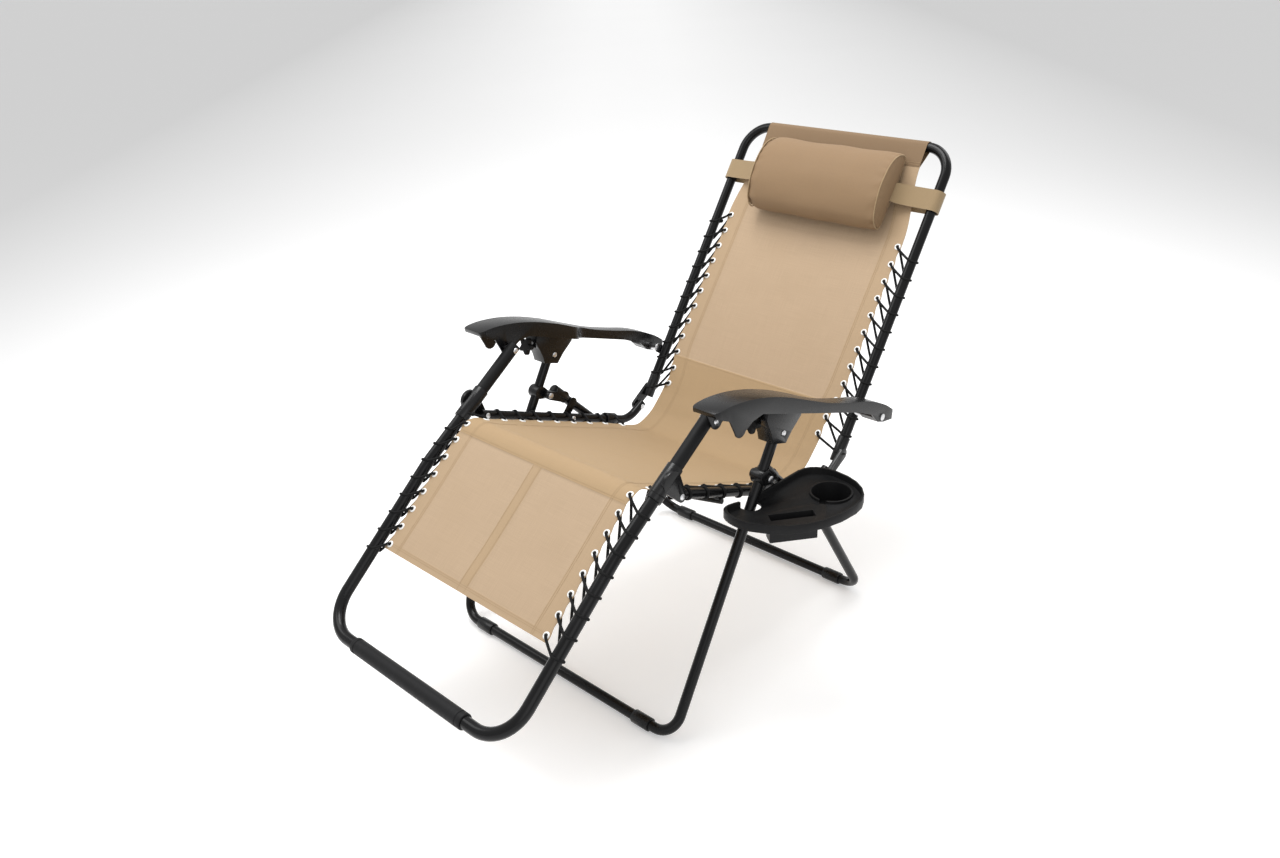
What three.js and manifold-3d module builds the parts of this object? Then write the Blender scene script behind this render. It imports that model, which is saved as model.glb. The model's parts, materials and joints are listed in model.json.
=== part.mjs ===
// Zero gravity recliner: a folding tube chair with a laced sling, armrests that
// slide over the front base, a clip-on tray and a strap-on head pillow.
//
// Millimetres, +Z up. +X is the sitter's left (the tray's side), -Y is the front.
// The chair is laid out in a working frame whose y = 0 is the front ground bar,
// and the finished group is moved so that its origin is the bottom centre of its box.

import * as THREE from 'three';
import { mergeVertices, toCreasedNormals } from 'three/addons/utils/BufferGeometryUtils.js';
import Module from 'manifold-3d';

const wasm = await Module();
wasm.setup();

// ---------------------------------------------------------------- driving dimensions

const GAP = 0.3; // clearance between pieces that touch
const SIDES = [1, -1];
const SIDE_NAME = { 1: 'left', [-1]: 'right' };

// Side-view pivots, as (y, z)
const KNEE = new THREE.Vector2(82, 499); // seat rail to leg frame
const ARM_FRONT = new THREE.Vector2(173, 617.5); // leg frame to armrest
const ARM_REAR = new THREE.Vector2(638.4, 469.3); // back frame to armrest
const SLIDER = new THREE.Vector2(316, 552); // front base to slider housing
const BASE = new THREE.Vector2(283.4, 465.2); // rear base to front base

// The four-bar of armrest, leg, seat and back is a parallelogram
const LINK = ARM_FRONT.clone().sub(KNEE);
const BACK = ARM_REAR.clone().sub(LINK); // seat rail to back frame
const ARM_DIRECTION = ARM_REAR.clone().sub(ARM_FRONT).normalize();
const ARM_NORMAL = new THREE.Vector2(-ARM_DIRECTION.y, ARM_DIRECTION.x);

// Seat pivot: the slider pivot's mirrored link, so that the armrest slides in a straight line
const LINK_ALONG = LINK.dot(ARM_DIRECTION);
const LINK_UP = LINK.dot(ARM_NORMAL);
const SEAT = SLIDER.clone()
  .addScaledVector(ARM_DIRECTION, LINK_ALONG)
  .addScaledVector(ARM_NORMAL, -LINK_UP);

// Tubes: radius, and the distance of their centre planes from the middle
const BASE_TUBE = 10.5;
const RAIL_TUBE = 10;
const LEG_TUBE = 12.5;
const UPPER_LEG_TUBE = 13.5;
const BACK_TUBE = 11;
const FRONT_X = 320;
const REAR_X = 300;
const RAIL_X = 271;
const LEG_X = 274;
const BACK_X = 276;
const TUBE_SIDES = 10;
const BORE_SIDES = 16;

// Base frames
const FOOT_RADIUS = 14;
const FOOT_LENGTH = 44;
const FOOT_FLAT = 0.8; // height of the round taken off where a foot stands
const FRONT_FOOT_X = 240;
const REAR_FOOT_X = 228;
const REAR_BAR_Y = 659;
const REAR_BEND = new THREE.Vector2(494, 279);
const REAR_TOP = new THREE.Vector2(306, 467);
const BASE_CORNER = 48;
const FRONT_TOP_OVERRUN = 9;

// Leg frame
const LEG_TOE = new THREE.Vector2(-360, 202);
const LEG_BEND = new THREE.Vector2(-75, 446);
const LEG_CORNER = 78;
const LEG_UPPER_START = 150; // from ARM_FRONT down to where the upper tube ends
const GRIP_HALF = 169;
const GRIP_RADIUS = 16;

// Back frame
const BACK_SLOPE = new THREE.Vector2(400, 570).normalize();
const BACK_FOOT = new THREE.Vector2(584.6, 366); // lower end of the back tube
const BACK_LENGTH = 712;
const BACK_CORNER = 62;

// Fabric
const SLING_HALF = 240;
const SLING_THICK = 4;
const LEG_SLING_UP = 8; // the sling's plane in front of the leg tubes' centre line
const BACK_SLING_UP = 12; // and in front of the back tubes'
const LACE_RADIUS = 2.5;
const PILLOW_HALF = 184;
const PILLOW_AT = 530; // up the back tube from its foot
const PILLOW_STAND_OFF = 16;
const STRAP_AT = 590;
const STRAP_WIDTH = 46;
const STRAP_THICK = 1.5;

// Armrest
const ARM_OUTER = 350;
const ARM_INNER = 291;
const ARM_INNER_REAR = 312;
const ARM_WALL = 3.5;
const ARM_ROOF = 5;
const ARM_LENGTH = 536;

// Rivets and pins
const PIN = 4;
const PIN_HEAD = 7.5;
const PIN_HEAD_THICK = 2.5;

// Finishes
const PAINT = { color: 0x101011, roughness: 0.3, metalness: 0.4 };
const PLASTIC = { color: 0x17181a, roughness: 0.6, metalness: 0.0 };
const RIVET = { color: 0xc9cacc, roughness: 0.3, metalness: 1.0 };
const FABRIC = { color: 0xc4a47c, roughness: 0.9, metalness: 0.0 };
const CORD = { color: 0x0c0c0d, roughness: 0.9, metalness: 0.0 };

// ---------------------------------------------------------------- solids

const chair = new THREE.Group();

/** Adds a named piece to the chair. */
function piece(name, geometry, finish) {
  const mesh = new THREE.Mesh(geometry, new THREE.MeshStandardMaterial(finish));
  mesh.name = name;
  chair.add(mesh);
  return mesh;
}

/** A geometry's merged, position-only form as a manifold solid. */
function toSolid(geometry) {
  const plain = geometry.clone();
  plain.deleteAttribute('normal');
  plain.deleteAttribute('uv');
  const merged = mergeVertices(plain, 1e-4);
  return new wasm.Manifold(
    new wasm.Mesh({
      numProp: 3,
      vertProperties: new Float32Array(merged.attributes.position.array),
      triVerts: new Uint32Array(merged.index.array),
    }),
  );
}

/** A manifold solid as a geometry. */
function toGeometry(solid) {
  const mesh = solid.getMesh();
  const geometry = new THREE.BufferGeometry();
  geometry.setAttribute('position', new THREE.BufferAttribute(mesh.vertProperties, 3));
  geometry.setIndex(new THREE.BufferAttribute(mesh.triVerts, 1));
  return toCreasedNormals(geometry, Math.PI / 5);
}

function join(...geometries) {
  return toGeometry(geometries.map(toSolid).reduce((sum, solid) => sum.add(solid)));
}

function cut(geometry, ...tools) {
  return toGeometry(tools.map(toSolid).reduce((rest, tool) => rest.subtract(tool), toSolid(geometry)));
}

function overlap(a, b) {
  return toGeometry(toSolid(a).intersect(toSolid(b)));
}

/** A side-view outline (y, z) as a slab between two x planes. */
function slab(outline, x0, x1, curveSegments = 6) {
  const shape = outline instanceof THREE.Shape ? outline : new THREE.Shape(outline);
  const low = Math.min(x0, x1);
  const geometry = new THREE.ExtrudeGeometry(shape, {
    depth: Math.abs(x1 - x0),
    bevelEnabled: false,
    curveSegments,
  });
  geometry.applyMatrix4(new THREE.Matrix4().set(0, 0, 1, low, 1, 0, 0, 0, 0, 1, 0, 0, 0, 0, 0, 1));
  return geometry;
}

/** A plan outline (x, y) as a slab between two z planes. */
function planSlab(shape, z0, z1, curveSegments = 6) {
  const geometry = new THREE.ExtrudeGeometry(shape, {
    depth: z1 - z0,
    bevelEnabled: false,
    curveSegments,
  });
  geometry.translate(0, 0, z0);
  return geometry;
}

/** A cylinder that lies along x at the side-view point. */
function crossCylinder(at, radius, x0, x1, sides = 14) {
  const geometry = new THREE.CylinderGeometry(radius, radius, Math.abs(x1 - x0), sides);
  geometry.rotateZ(Math.PI / 2);
  geometry.translate((x0 + x1) / 2, at.x, at.y);
  return geometry;
}

/** Drills a clearance hole for a cross pin right through a piece. */
function drill(geometry, at, side, x, radius = PIN + GAP) {
  return cut(geometry, crossCylinder(at, radius, side * (x - 40), side * (x + 40), 10));
}

/** A rivet along x with a domed head at each end. */
function rivet(at, x0, x1, head = PIN_HEAD, shank = PIN) {
  const half = Math.abs(x1 - x0) / 2;
  const profile = [
    new THREE.Vector2(0, -half - PIN_HEAD_THICK),
    new THREE.Vector2(head * 0.6, -half - PIN_HEAD_THICK * 0.8),
    new THREE.Vector2(head, -half),
    new THREE.Vector2(shank, -half),
    new THREE.Vector2(shank, half),
    new THREE.Vector2(head, half),
    new THREE.Vector2(head * 0.6, half + PIN_HEAD_THICK * 0.8),
    new THREE.Vector2(0, half + PIN_HEAD_THICK),
  ];
  const geometry = new THREE.LatheGeometry(profile, 10);
  geometry.rotateZ(Math.PI / 2);
  geometry.translate((x0 + x1) / 2, at.x, at.y);
  return geometry;
}

/** A sleeve round a bar that lies along x. */
function crossSleeve(at, inner, outer, x0, x1, edge = 1.5) {
  const half = (x1 - x0) / 2;
  const profile = [
    new THREE.Vector2(inner, -half),
    new THREE.Vector2(outer - edge, -half),
    new THREE.Vector2(outer, -half + edge),
    new THREE.Vector2(outer, half - edge),
    new THREE.Vector2(outer - edge, half),
    new THREE.Vector2(inner, half),
    new THREE.Vector2(inner, -half),
  ];
  const geometry = new THREE.LatheGeometry(profile, BORE_SIDES);
  geometry.rotateZ(Math.PI / 2);
  geometry.translate((x0 + x1) / 2, at.x, at.y);
  return geometry;
}

/** A path through corners, each rounded to a radius, with stations only where it bends. */
class BentPath extends THREE.Curve {
  constructor(corners, radii, bendSteps = 6) {
    super();
    this.stations = [corners[0]];
    for (let i = 1; i < corners.length - 1; i += 1) {
      const into = corners[i].clone().sub(corners[i - 1]).normalize();
      const out = corners[i + 1].clone().sub(corners[i]).normalize();
      const turn = into.angleTo(out);
      const reach = radii[i - 1] * Math.tan(turn / 2);
      const inward = out.clone().sub(into).normalize();
      const centre = corners[i].clone().addScaledVector(inward, radii[i - 1] / Math.cos(turn / 2));
      const start = corners[i].clone().addScaledVector(into, -reach);
      const axis = into.clone().cross(out).normalize();
      for (let k = 0; k <= bendSteps; k += 1) {
        const arm = start.clone().sub(centre).applyAxisAngle(axis, (turn * k) / bendSteps);
        this.stations.push(centre.clone().add(arm));
      }
    }
    this.stations.push(corners[corners.length - 1]);
  }

  get steps() {
    return this.stations.length - 1;
  }

  getPoint(t) {
    const place = Math.min(Math.max(t, 0), 1) * this.steps;
    const index = Math.min(Math.floor(place + 1e-9), this.steps - 1);
    return this.stations[index].clone().lerp(this.stations[index + 1], place - index);
  }

  getPointAt(t) {
    return this.getPoint(t);
  }

  getTangentAt(t) {
    const place = Math.round(t * this.steps);
    const before = this.stations[Math.max(place - 1, 0)];
    const here = this.stations[place];
    const after = this.stations[Math.min(place + 1, this.steps)];
    const into = here.clone().sub(before).normalize();
    const out = after.clone().sub(here).normalize();
    return into.add(out).normalize();
  }
}

/** A round tube along a rounded path. */
function tube(corners, radii, radius, sides = TUBE_SIDES, bendSteps = 5) {
  const path = new BentPath(corners, radii, bendSteps);
  const ring = new THREE.Shape();
  for (let k = 0; k < sides; k += 1) {
    const angle = (2 * Math.PI * k) / sides;
    const point = [radius * Math.cos(angle), radius * Math.sin(angle)];
    if (k === 0) ring.moveTo(...point);
    else ring.lineTo(...point);
  }
  ring.closePath();
  return new THREE.ExtrudeGeometry(ring, { steps: path.steps, extrudePath: path });
}

/** A side-view point at a given x. */
function at3(x, point) {
  return new THREE.Vector3(x, point.x, point.y);
}

/** A point in the armrest's own side view: u along it from the front pivot, n above the pivot line. */
function armPoint(u, n) {
  return ARM_FRONT.clone().addScaledVector(ARM_DIRECTION, u).addScaledVector(ARM_NORMAL, n);
}

/** A rounded strap outline round two circles. */
function linkOutline(a, radiusA, b, radiusB) {
  const along = Math.atan2(b.y - a.y, b.x - a.x);
  const lean = Math.acos((radiusA - radiusB) / a.distanceTo(b));
  const shape = new THREE.Shape();
  shape.absarc(a.x, a.y, radiusA, along + lean, along - lean + 2 * Math.PI, false);
  shape.absarc(b.x, b.y, radiusB, along - lean, along + lean, false);
  return shape;
}

/** Where a straight side-view line stands at a distance from its start. */
function along(start, direction, distance, offset = 0) {
  const normal = new THREE.Vector2(-direction.y, direction.x);
  return start.clone().addScaledVector(direction, distance).addScaledVector(normal, offset);
}

// ---------------------------------------------------------------- base frames

const FRONT_BAR = new THREE.Vector2(0, FOOT_RADIUS);
const REAR_BAR = new THREE.Vector2(REAR_BAR_Y, FOOT_RADIUS);
const FRONT_UP = SLIDER.clone().sub(FRONT_BAR).normalize();

function frontBaseFrame() {
  const top = along(SLIDER, FRONT_UP, FRONT_TOP_OVERRUN);
  const corners = [
    at3(FRONT_X, top),
    at3(FRONT_X, FRONT_BAR),
    at3(-FRONT_X, FRONT_BAR),
    at3(-FRONT_X, top),
  ];
  let frame = tube(corners, [BASE_CORNER, BASE_CORNER], BASE_TUBE);
  for (const side of SIDES) frame = drill(frame, SLIDER, side, FRONT_X);
  return frame;
}

function rearBaseFrame() {
  const corners = [
    at3(REAR_X, REAR_TOP),
    at3(REAR_X, REAR_BEND),
    at3(REAR_X, REAR_BAR),
    at3(-REAR_X, REAR_BAR),
    at3(-REAR_X, REAR_BEND),
    at3(-REAR_X, REAR_TOP),
  ];
  return tube(corners, [120, BASE_CORNER, BASE_CORNER, 120], BASE_TUBE);
}

/** The moulded clamp round the front tube, with the ears that carry the rear base's rivet. */
function pivotClamp(side) {
  const centre = along(FRONT_BAR, FRONT_UP, BASE.clone().sub(FRONT_BAR).dot(FRONT_UP));
  const outline = linkOutline(centre, 15, BASE, 10.5);
  const x0 = side * (FRONT_X - BASE_TUBE - 3);
  const x1 = side * (FRONT_X + BASE_TUBE + 3);
  const body = slab(outline, x0, x1);
  const bore = tube(
    [at3(side * FRONT_X, along(centre, FRONT_UP, -60)), at3(side * FRONT_X, along(centre, FRONT_UP, 60))],
    [],
    BASE_TUBE + GAP,
    BORE_SIDES,
  );
  return drill(cut(body, bore), BASE, side, FRONT_X);
}

/** The moulded end bracket of the rear base: a socket for the tube and an ear that swings on the rivet. */
function rearBracket(side) {
  const down = REAR_BEND.clone().sub(REAR_TOP).normalize();
  const socket = tube(
    [at3(side * REAR_X, along(REAR_TOP, down, -6)), at3(side * REAR_X, along(REAR_TOP, down, 39))],
    [],
    BASE_TUBE + 2.5,
    BORE_SIDES,
  );
  const outline = linkOutline(BASE, 9.5, along(REAR_TOP, down, 26), 13);
  const ear = slab(outline, side * (REAR_X - BASE_TUBE - 1), side * (FRONT_X - BASE_TUBE - 3 - GAP));
  const bore = tube(
    [at3(side * REAR_X, along(REAR_TOP, down, -GAP)), at3(side * REAR_X, along(REAR_TOP, down, 90))],
    [],
    BASE_TUBE + GAP,
    BORE_SIDES,
  );
  return drill(cut(join(socket, ear), bore), BASE, side, REAR_X);
}

/** The plate on the rear base that carries the seat's pivot pin. */
function seatPivotBracket(side) {
  const down = REAR_BEND.clone().sub(REAR_TOP).normalize();
  const root = along(REAR_TOP, down, SEAT.clone().sub(REAR_TOP).dot(down));
  const outline = linkOutline(SEAT, 10, root, 12);
  const x1 = side * (REAR_X - BASE_TUBE - GAP);
  return drill(slab(outline, x1 - side * 3, x1), SEAT, side, REAR_X);
}

/** A moulded sleeve on a ground bar, with a narrow flat where it stands. */
function foot(bar, x) {
  const sleeve = crossSleeve(bar, BASE_TUBE + GAP, FOOT_RADIUS, x - FOOT_LENGTH / 2, x + FOOT_LENGTH / 2);
  const below = new THREE.BoxGeometry(2 * FOOT_LENGTH, 4 * FOOT_RADIUS, 2 * FOOT_FLAT);
  below.translate(x, bar.x, 0);
  return cut(sleeve, below);
}

function addBases() {
  piece('front_base_frame', frontBaseFrame(), PAINT);
  piece('rear_base_frame', rearBaseFrame(), PAINT);
  for (const side of SIDES) {
    const name = SIDE_NAME[side];
    piece(`front_foot_${name}`, foot(FRONT_BAR, side * FRONT_FOOT_X), PLASTIC);
    piece(`rear_foot_${name}`, foot(REAR_BAR, side * REAR_FOOT_X), PLASTIC);
    piece(`pivot_clamp_${name}`, pivotClamp(side), PLASTIC);
    piece(`rear_base_bracket_${name}`, rearBracket(side), PLASTIC);
    const inside = side * (REAR_X - BASE_TUBE - 1 - GAP);
    const outside = side * (FRONT_X + BASE_TUBE + 3 + GAP);
    piece(`base_rivet_${name}`, rivet(BASE, inside, outside), RIVET);
    piece(`seat_pivot_bracket_${name}`, seatPivotBracket(side), PAINT);
    const pinOuter = side * (REAR_X - BASE_TUBE + 1);
    const pinInner = side * (RAIL_X - RAIL_TUBE - GAP);
    piece(`seat_pivot_pin_${name}`, rivet(SEAT, pinInner, pinOuter, 6.5), RIVET);
  }
}

// ---------------------------------------------------------------- seat

const RAIL_LOW = new THREE.Vector2(505, 329);

function seatRail(side) {
  const corners = [
    at3(side * RAIL_X, along(KNEE, RAIL_LOW.clone().sub(KNEE).normalize(), -11)),
    at3(side * RAIL_X, RAIL_LOW),
    at3(side * RAIL_X, BACK.clone().add(new THREE.Vector2(9, 5))),
  ];
  let rail = tube(corners, [60], RAIL_TUBE);
  for (const pivot of [KNEE, SEAT, BACK]) rail = drill(rail, pivot, side, RAIL_X);
  return rail;
}

/** The bowed bar that ties the two rails together under the sling. */
function seatCrossbar() {
  const direction = RAIL_LOW.clone().sub(KNEE).normalize();
  const end = along(KNEE, direction, 140, -RAIL_TUBE - 6 - GAP);
  const middle = along(KNEE, direction, 140, -RAIL_TUBE - 30);
  const corners = [at3(RAIL_X + 6, end), at3(150, middle), at3(-150, middle), at3(-RAIL_X - 6, end)];
  return tube(corners, [160, 160], 6, 12);
}

function addSeat() {
  const direction = RAIL_LOW.clone().sub(KNEE).normalize();
  for (const side of SIDES) {
    const name = SIDE_NAME[side];
    piece(`seat_rail_${name}`, seatRail(side), PAINT);
    const clip = new THREE.CylinderGeometry(15, 15, 34, BORE_SIDES);
    const bore = new THREE.CylinderGeometry(RAIL_TUBE + GAP, RAIL_TUBE + GAP, 60, BORE_SIDES);
    const ring = cut(clip, bore);
    const middle = along(KNEE, direction, 388);
    ring.applyMatrix4(
      new THREE.Matrix4().makeBasis(
        new THREE.Vector3(1, 0, 0),
        at3(0, direction),
        new THREE.Vector3(1, 0, 0).cross(at3(0, direction)),
      ),
    );
    ring.translate(side * RAIL_X, middle.x, middle.y);
    piece(`rail_clip_${name}`, ring, PLASTIC);
    const outer = side * (LEG_X + 15.5 + GAP);
    piece(`knee_rivet_${name}`, rivet(KNEE, side * (RAIL_X - RAIL_TUBE - GAP), outer, 6.5), RIVET);
    const backOuter = side * (BACK_X + 12.6);
    piece(`back_rivet_${name}`, rivet(BACK, side * (RAIL_X - RAIL_TUBE - GAP), backOuter, 6.5), RIVET);
  }
  piece('seat_crossbar', seatCrossbar(), PAINT);
}

// ---------------------------------------------------------------- leg frame

const LEG_UPPER = ARM_FRONT.clone().sub(LEG_BEND).normalize();
const LEG_LOWER = LEG_BEND.clone().sub(LEG_TOE).normalize();

function legFrame() {
  const top = along(ARM_FRONT, LEG_UPPER, -LEG_UPPER_START - GAP);
  const corners = [
    at3(LEG_X, top),
    at3(LEG_X, LEG_BEND),
    at3(LEG_X, LEG_TOE),
    at3(-LEG_X, LEG_TOE),
    at3(-LEG_X, LEG_BEND),
    at3(-LEG_X, top),
  ];
  return tube(corners, [300, LEG_CORNER, LEG_CORNER, 300], LEG_TUBE);
}

function upperLegTube(side) {
  const corners = [
    at3(side * LEG_X, along(ARM_FRONT, LEG_UPPER, -LEG_UPPER_START)),
    at3(side * LEG_X, along(ARM_FRONT, LEG_UPPER, 11)),
  ];
  return drill(tube(corners, [], UPPER_LEG_TUBE), ARM_FRONT, side, LEG_X);
}

/** The moulded knuckle that joins the leg tubes and carries the knee rivet on its outer lug. */
function kneeBracket(side) {
  const foot = along(ARM_FRONT, LEG_UPPER, -LEG_UPPER_START - 34);
  const head = along(ARM_FRONT, LEG_UPPER, -LEG_UPPER_START + 40);
  const sleeve = tube([at3(side * LEG_X, foot), at3(side * LEG_X, head)], [], 15.5 + 0.3, BORE_SIDES);
  const root = along(ARM_FRONT, LEG_UPPER, -LEG_UPPER_START + 10);
  const outer = side * (LEG_X + 15.5);
  const lug = slab(linkOutline(root, 22, KNEE, 11), side * (RAIL_X + RAIL_TUBE + GAP), outer);
  const lowBore = tube(
    [at3(side * LEG_X, along(foot, LEG_UPPER, -20)), at3(side * LEG_X, along(foot, LEG_UPPER, 34))],
    [],
    LEG_TUBE + GAP,
    BORE_SIDES,
  );
  const highBore = tube(
    [at3(side * LEG_X, along(foot, LEG_UPPER, 34 - GAP)), at3(side * LEG_X, along(head, LEG_UPPER, 30))],
    [],
    UPPER_LEG_TUBE + GAP,
    BORE_SIDES,
  );
  return drill(cut(join(sleeve, lug), lowBore, highBore), KNEE, side, RAIL_X + 20);
}

function addLeg() {
  piece('leg_frame', legFrame(), PAINT);
  piece('footrest_grip', crossSleeve(LEG_TOE, LEG_TUBE + GAP, GRIP_RADIUS, -GRIP_HALF, GRIP_HALF, 3), PLASTIC);
  for (const side of SIDES) {
    const name = SIDE_NAME[side];
    piece(`upper_leg_tube_${name}`, upperLegTube(side), PAINT);
    piece(`knee_bracket_${name}`, kneeBracket(side), PLASTIC);
    const inner = side * (LEG_X - UPPER_LEG_TUBE - GAP);
    piece(`arm_front_rivet_${name}`, rivet(ARM_FRONT, inner, side * (ARM_INNER + ARM_WALL + GAP), 6.5), RIVET);
  }
}

// ---------------------------------------------------------------- back frame

const BACK_TOP = along(BACK_FOOT, BACK_SLOPE, BACK_LENGTH);

function backFrame() {
  const corners = [
    at3(BACK_X, BACK_FOOT),
    at3(BACK_X, BACK_TOP),
    at3(-BACK_X, BACK_TOP),
    at3(-BACK_X, BACK_FOOT),
  ];
  return tube(corners, [BACK_CORNER, BACK_CORNER], BACK_TUBE);
}

/** The moulded foot of the back tube, with the outer lug that carries the back rivet. */
function backBracket(side) {
  const head = along(BACK_FOOT, BACK_SLOPE, 52);
  const sleeve = tube([at3(side * BACK_X, along(BACK_FOOT, BACK_SLOPE, -4)), at3(side * BACK_X, head)], [], 13, BORE_SIDES);
  const root = along(BACK_FOOT, BACK_SLOPE, 16);
  const lug = slab(linkOutline(root, 13, BACK, 10.5), side * (RAIL_X + RAIL_TUBE + GAP), side * (BACK_X + 12.3));
  const bore = tube(
    [at3(side * BACK_X, along(BACK_FOOT, BACK_SLOPE, -GAP)), at3(side * BACK_X, along(head, BACK_SLOPE, 30))],
    [],
    BACK_TUBE + GAP,
    BORE_SIDES,
  );
  return drill(cut(join(sleeve, lug), bore), BACK, side, BACK_X);
}

/** The plate and spigot on the back tube that the armrest's rear end turns on. */
function armRearSpigot(side) {
  const root = along(BACK_FOOT, BACK_SLOPE, ARM_REAR.clone().sub(BACK_FOOT).dot(BACK_SLOPE));
  const x0 = side * (BACK_X + BACK_TUBE + GAP);
  const plate = slab(linkOutline(root, 11, ARM_REAR, 11), x0, x0 + side * 2);
  const spacer = crossCylinder(ARM_REAR, 8, x0 + side * 1, side * (ARM_INNER_REAR - GAP), 20);
  const spigot = crossCylinder(ARM_REAR, PIN, x0 + side * 1, side * (ARM_OUTER + GAP), 16);
  const head = crossCylinder(ARM_REAR, PIN_HEAD, side * (ARM_OUTER + GAP), side * (ARM_OUTER + 2.5), 16);
  return join(plate, spacer, spigot, head);
}

function addBack() {
  piece('back_frame', backFrame(), PAINT);
  for (const side of SIDES) {
    const name = SIDE_NAME[side];
    piece(`back_bracket_${name}`, backBracket(side), PLASTIC);
    piece(`arm_rear_spigot_${name}`, armRearSpigot(side), RIVET);
  }
}

// ---------------------------------------------------------------- armrests and sliders

/** The armrest's outline from the side: a humped top and a straighter lower edge with two lobes. */
function armOutline(roofDrop = 0, deep = false) {
  const top = [
    [-78, 30], [-40, 44], [15, 54], [75, 57], [140, 54], [207, 46],
    [280, 38], [353, 36], [425, 36], [490, 27], [530, 14],
  ];
  const shape = new THREE.Shape();
  const high = top.map(([u, n]) => armPoint(u, n - roofDrop));
  shape.moveTo(high[0].x, high[0].y);
  shape.splineThru(high.slice(1));
  const low = deep
    ? [[530, -60], [-78, -60]]
    : [[532, -6], [500, -11], [476, -10], [448, 6], [390, 14], [183, 20], [60, 26], [34, 14]];
  for (const [u, n] of low) {
    const point = armPoint(u, n);
    shape.lineTo(point.x, point.y);
  }
  if (!deep) {
    const lobe = armPoint(2, -1);
    const lean = Math.atan2(ARM_DIRECTION.y, ARM_DIRECTION.x);
    shape.absarc(lobe.x, lobe.y, 15, lean - 0.15, lean - 2.7, true);
    const front = [[-34, 16], [-70, 21]];
    for (const [u, n] of front) {
      const point = armPoint(u, n);
      shape.lineTo(point.x, point.y);
    }
  }
  shape.closePath();
  return shape;
}

/** The armrest's outline from above, as (x, y): wide at the front and narrow at the back. */
function armPlan(side, inset, u0, u1) {
  const y = (u) => armPoint(u, 20).x;
  const shape = new THREE.Shape();
  const inner = ARM_INNER + inset;
  const rear = ARM_INNER_REAR + inset;
  const outer = ARM_OUTER - inset;
  const round = inset > 0 ? 4 : 22;
  shape.moveTo(side * inner, y(u0 + round));
  shape.quadraticCurveTo(side * inner, y(u0), side * (inner + round), y(u0));
  shape.lineTo(side * (outer - round), y(u0));
  shape.quadraticCurveTo(side * outer, y(u0), side * outer, y(u0 + round));
  const tail = inset > 0 ? 2 : 14;
  shape.lineTo(side * outer, y(u1 - tail));
  shape.quadraticCurveTo(side * outer, y(u1), side * (outer - tail), y(u1));
  shape.lineTo(side * (rear + tail), y(u1));
  shape.quadraticCurveTo(side * rear, y(u1), side * rear, y(u1 - tail));
  shape.lineTo(side * rear, y(250));
  shape.bezierCurveTo(side * rear, y(225), side * inner, y(225), side * inner, y(200));
  shape.closePath();
  return shape;
}

function armrest(side) {
  const x0 = side * (ARM_INNER - 5);
  const x1 = side * (ARM_OUTER + 5);
  const body = overlap(slab(armOutline(), x0, x1, 3), planSlab(armPlan(side, 0, -80, ARM_LENGTH), 300, 800, 5));
  const hollow = overlap(
    slab(armOutline(ARM_ROOF, true), x0, x1, 2),
    planSlab(armPlan(side, ARM_WALL, -70, 452), 300, 800, 3),
  );
  let rest = cut(body, hollow);
  rest = cut(rest, crossCylinder(ARM_FRONT, PIN + GAP, side * (ARM_INNER - 9), side * (ARM_INNER + 9), 16));
  return cut(rest, crossCylinder(ARM_REAR, PIN + GAP, x0, x1, 16));
}

/** The slider housing that runs inside the armrest; the front base's tube ends between its cheeks. */
function slider(side) {
  const u0 = SLIDER.clone().sub(ARM_FRONT).dot(ARM_DIRECTION);
  const n0 = SLIDER.clone().sub(ARM_FRONT).dot(ARM_NORMAL);
  const outer = [
    [-62, 33], [-62, 27], [-54, 17], [-46, 9], [-34, -6], [-26, -20],
    [14, -20], [26, 4], [46, 33], [46, 49], [-62, 49],
  ];
  const body = slab(outer.map(([u, n]) => armPoint(u0 + u, n0 + n)), side * (FRONT_X - 18), side * (FRONT_X + 18));
  const down = FRONT_UP.clone().negate();
  const front = [along(SLIDER, down, 90, -BASE_TUBE - 2), along(SLIDER, down, -BASE_TUBE - 4, -BASE_TUBE - 2)];
  const back = [armPoint(u0 + 14, n0 + 16), armPoint(u0 + 90, n0 + 16), armPoint(u0 + 90, n0 - 90)];
  const slot = slab([...front, ...back], side * (FRONT_X - BASE_TUBE - 1), side * (FRONT_X + BASE_TUBE + 1));
  const holed = drill(cut(body, slot), SLIDER, side, FRONT_X);
  const stem = armPoint(u0 - 60, n0 + 17);
  const hole = knobShaft(stem, side, 4 + GAP, -2, 16);
  return cut(holed, hole);
}

/** A round shaft along the armrest, from a point on its axis, at the knob's place across the chair. */
function knobShaft(point, side, radius, from, to) {
  const start = along(point, ARM_DIRECTION, from);
  const end = along(point, ARM_DIRECTION, to);
  return tube([at3(side * KNOB_X, start), at3(side * KNOB_X, end)], [], radius);
}

const KNOB_X = 315;

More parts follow.
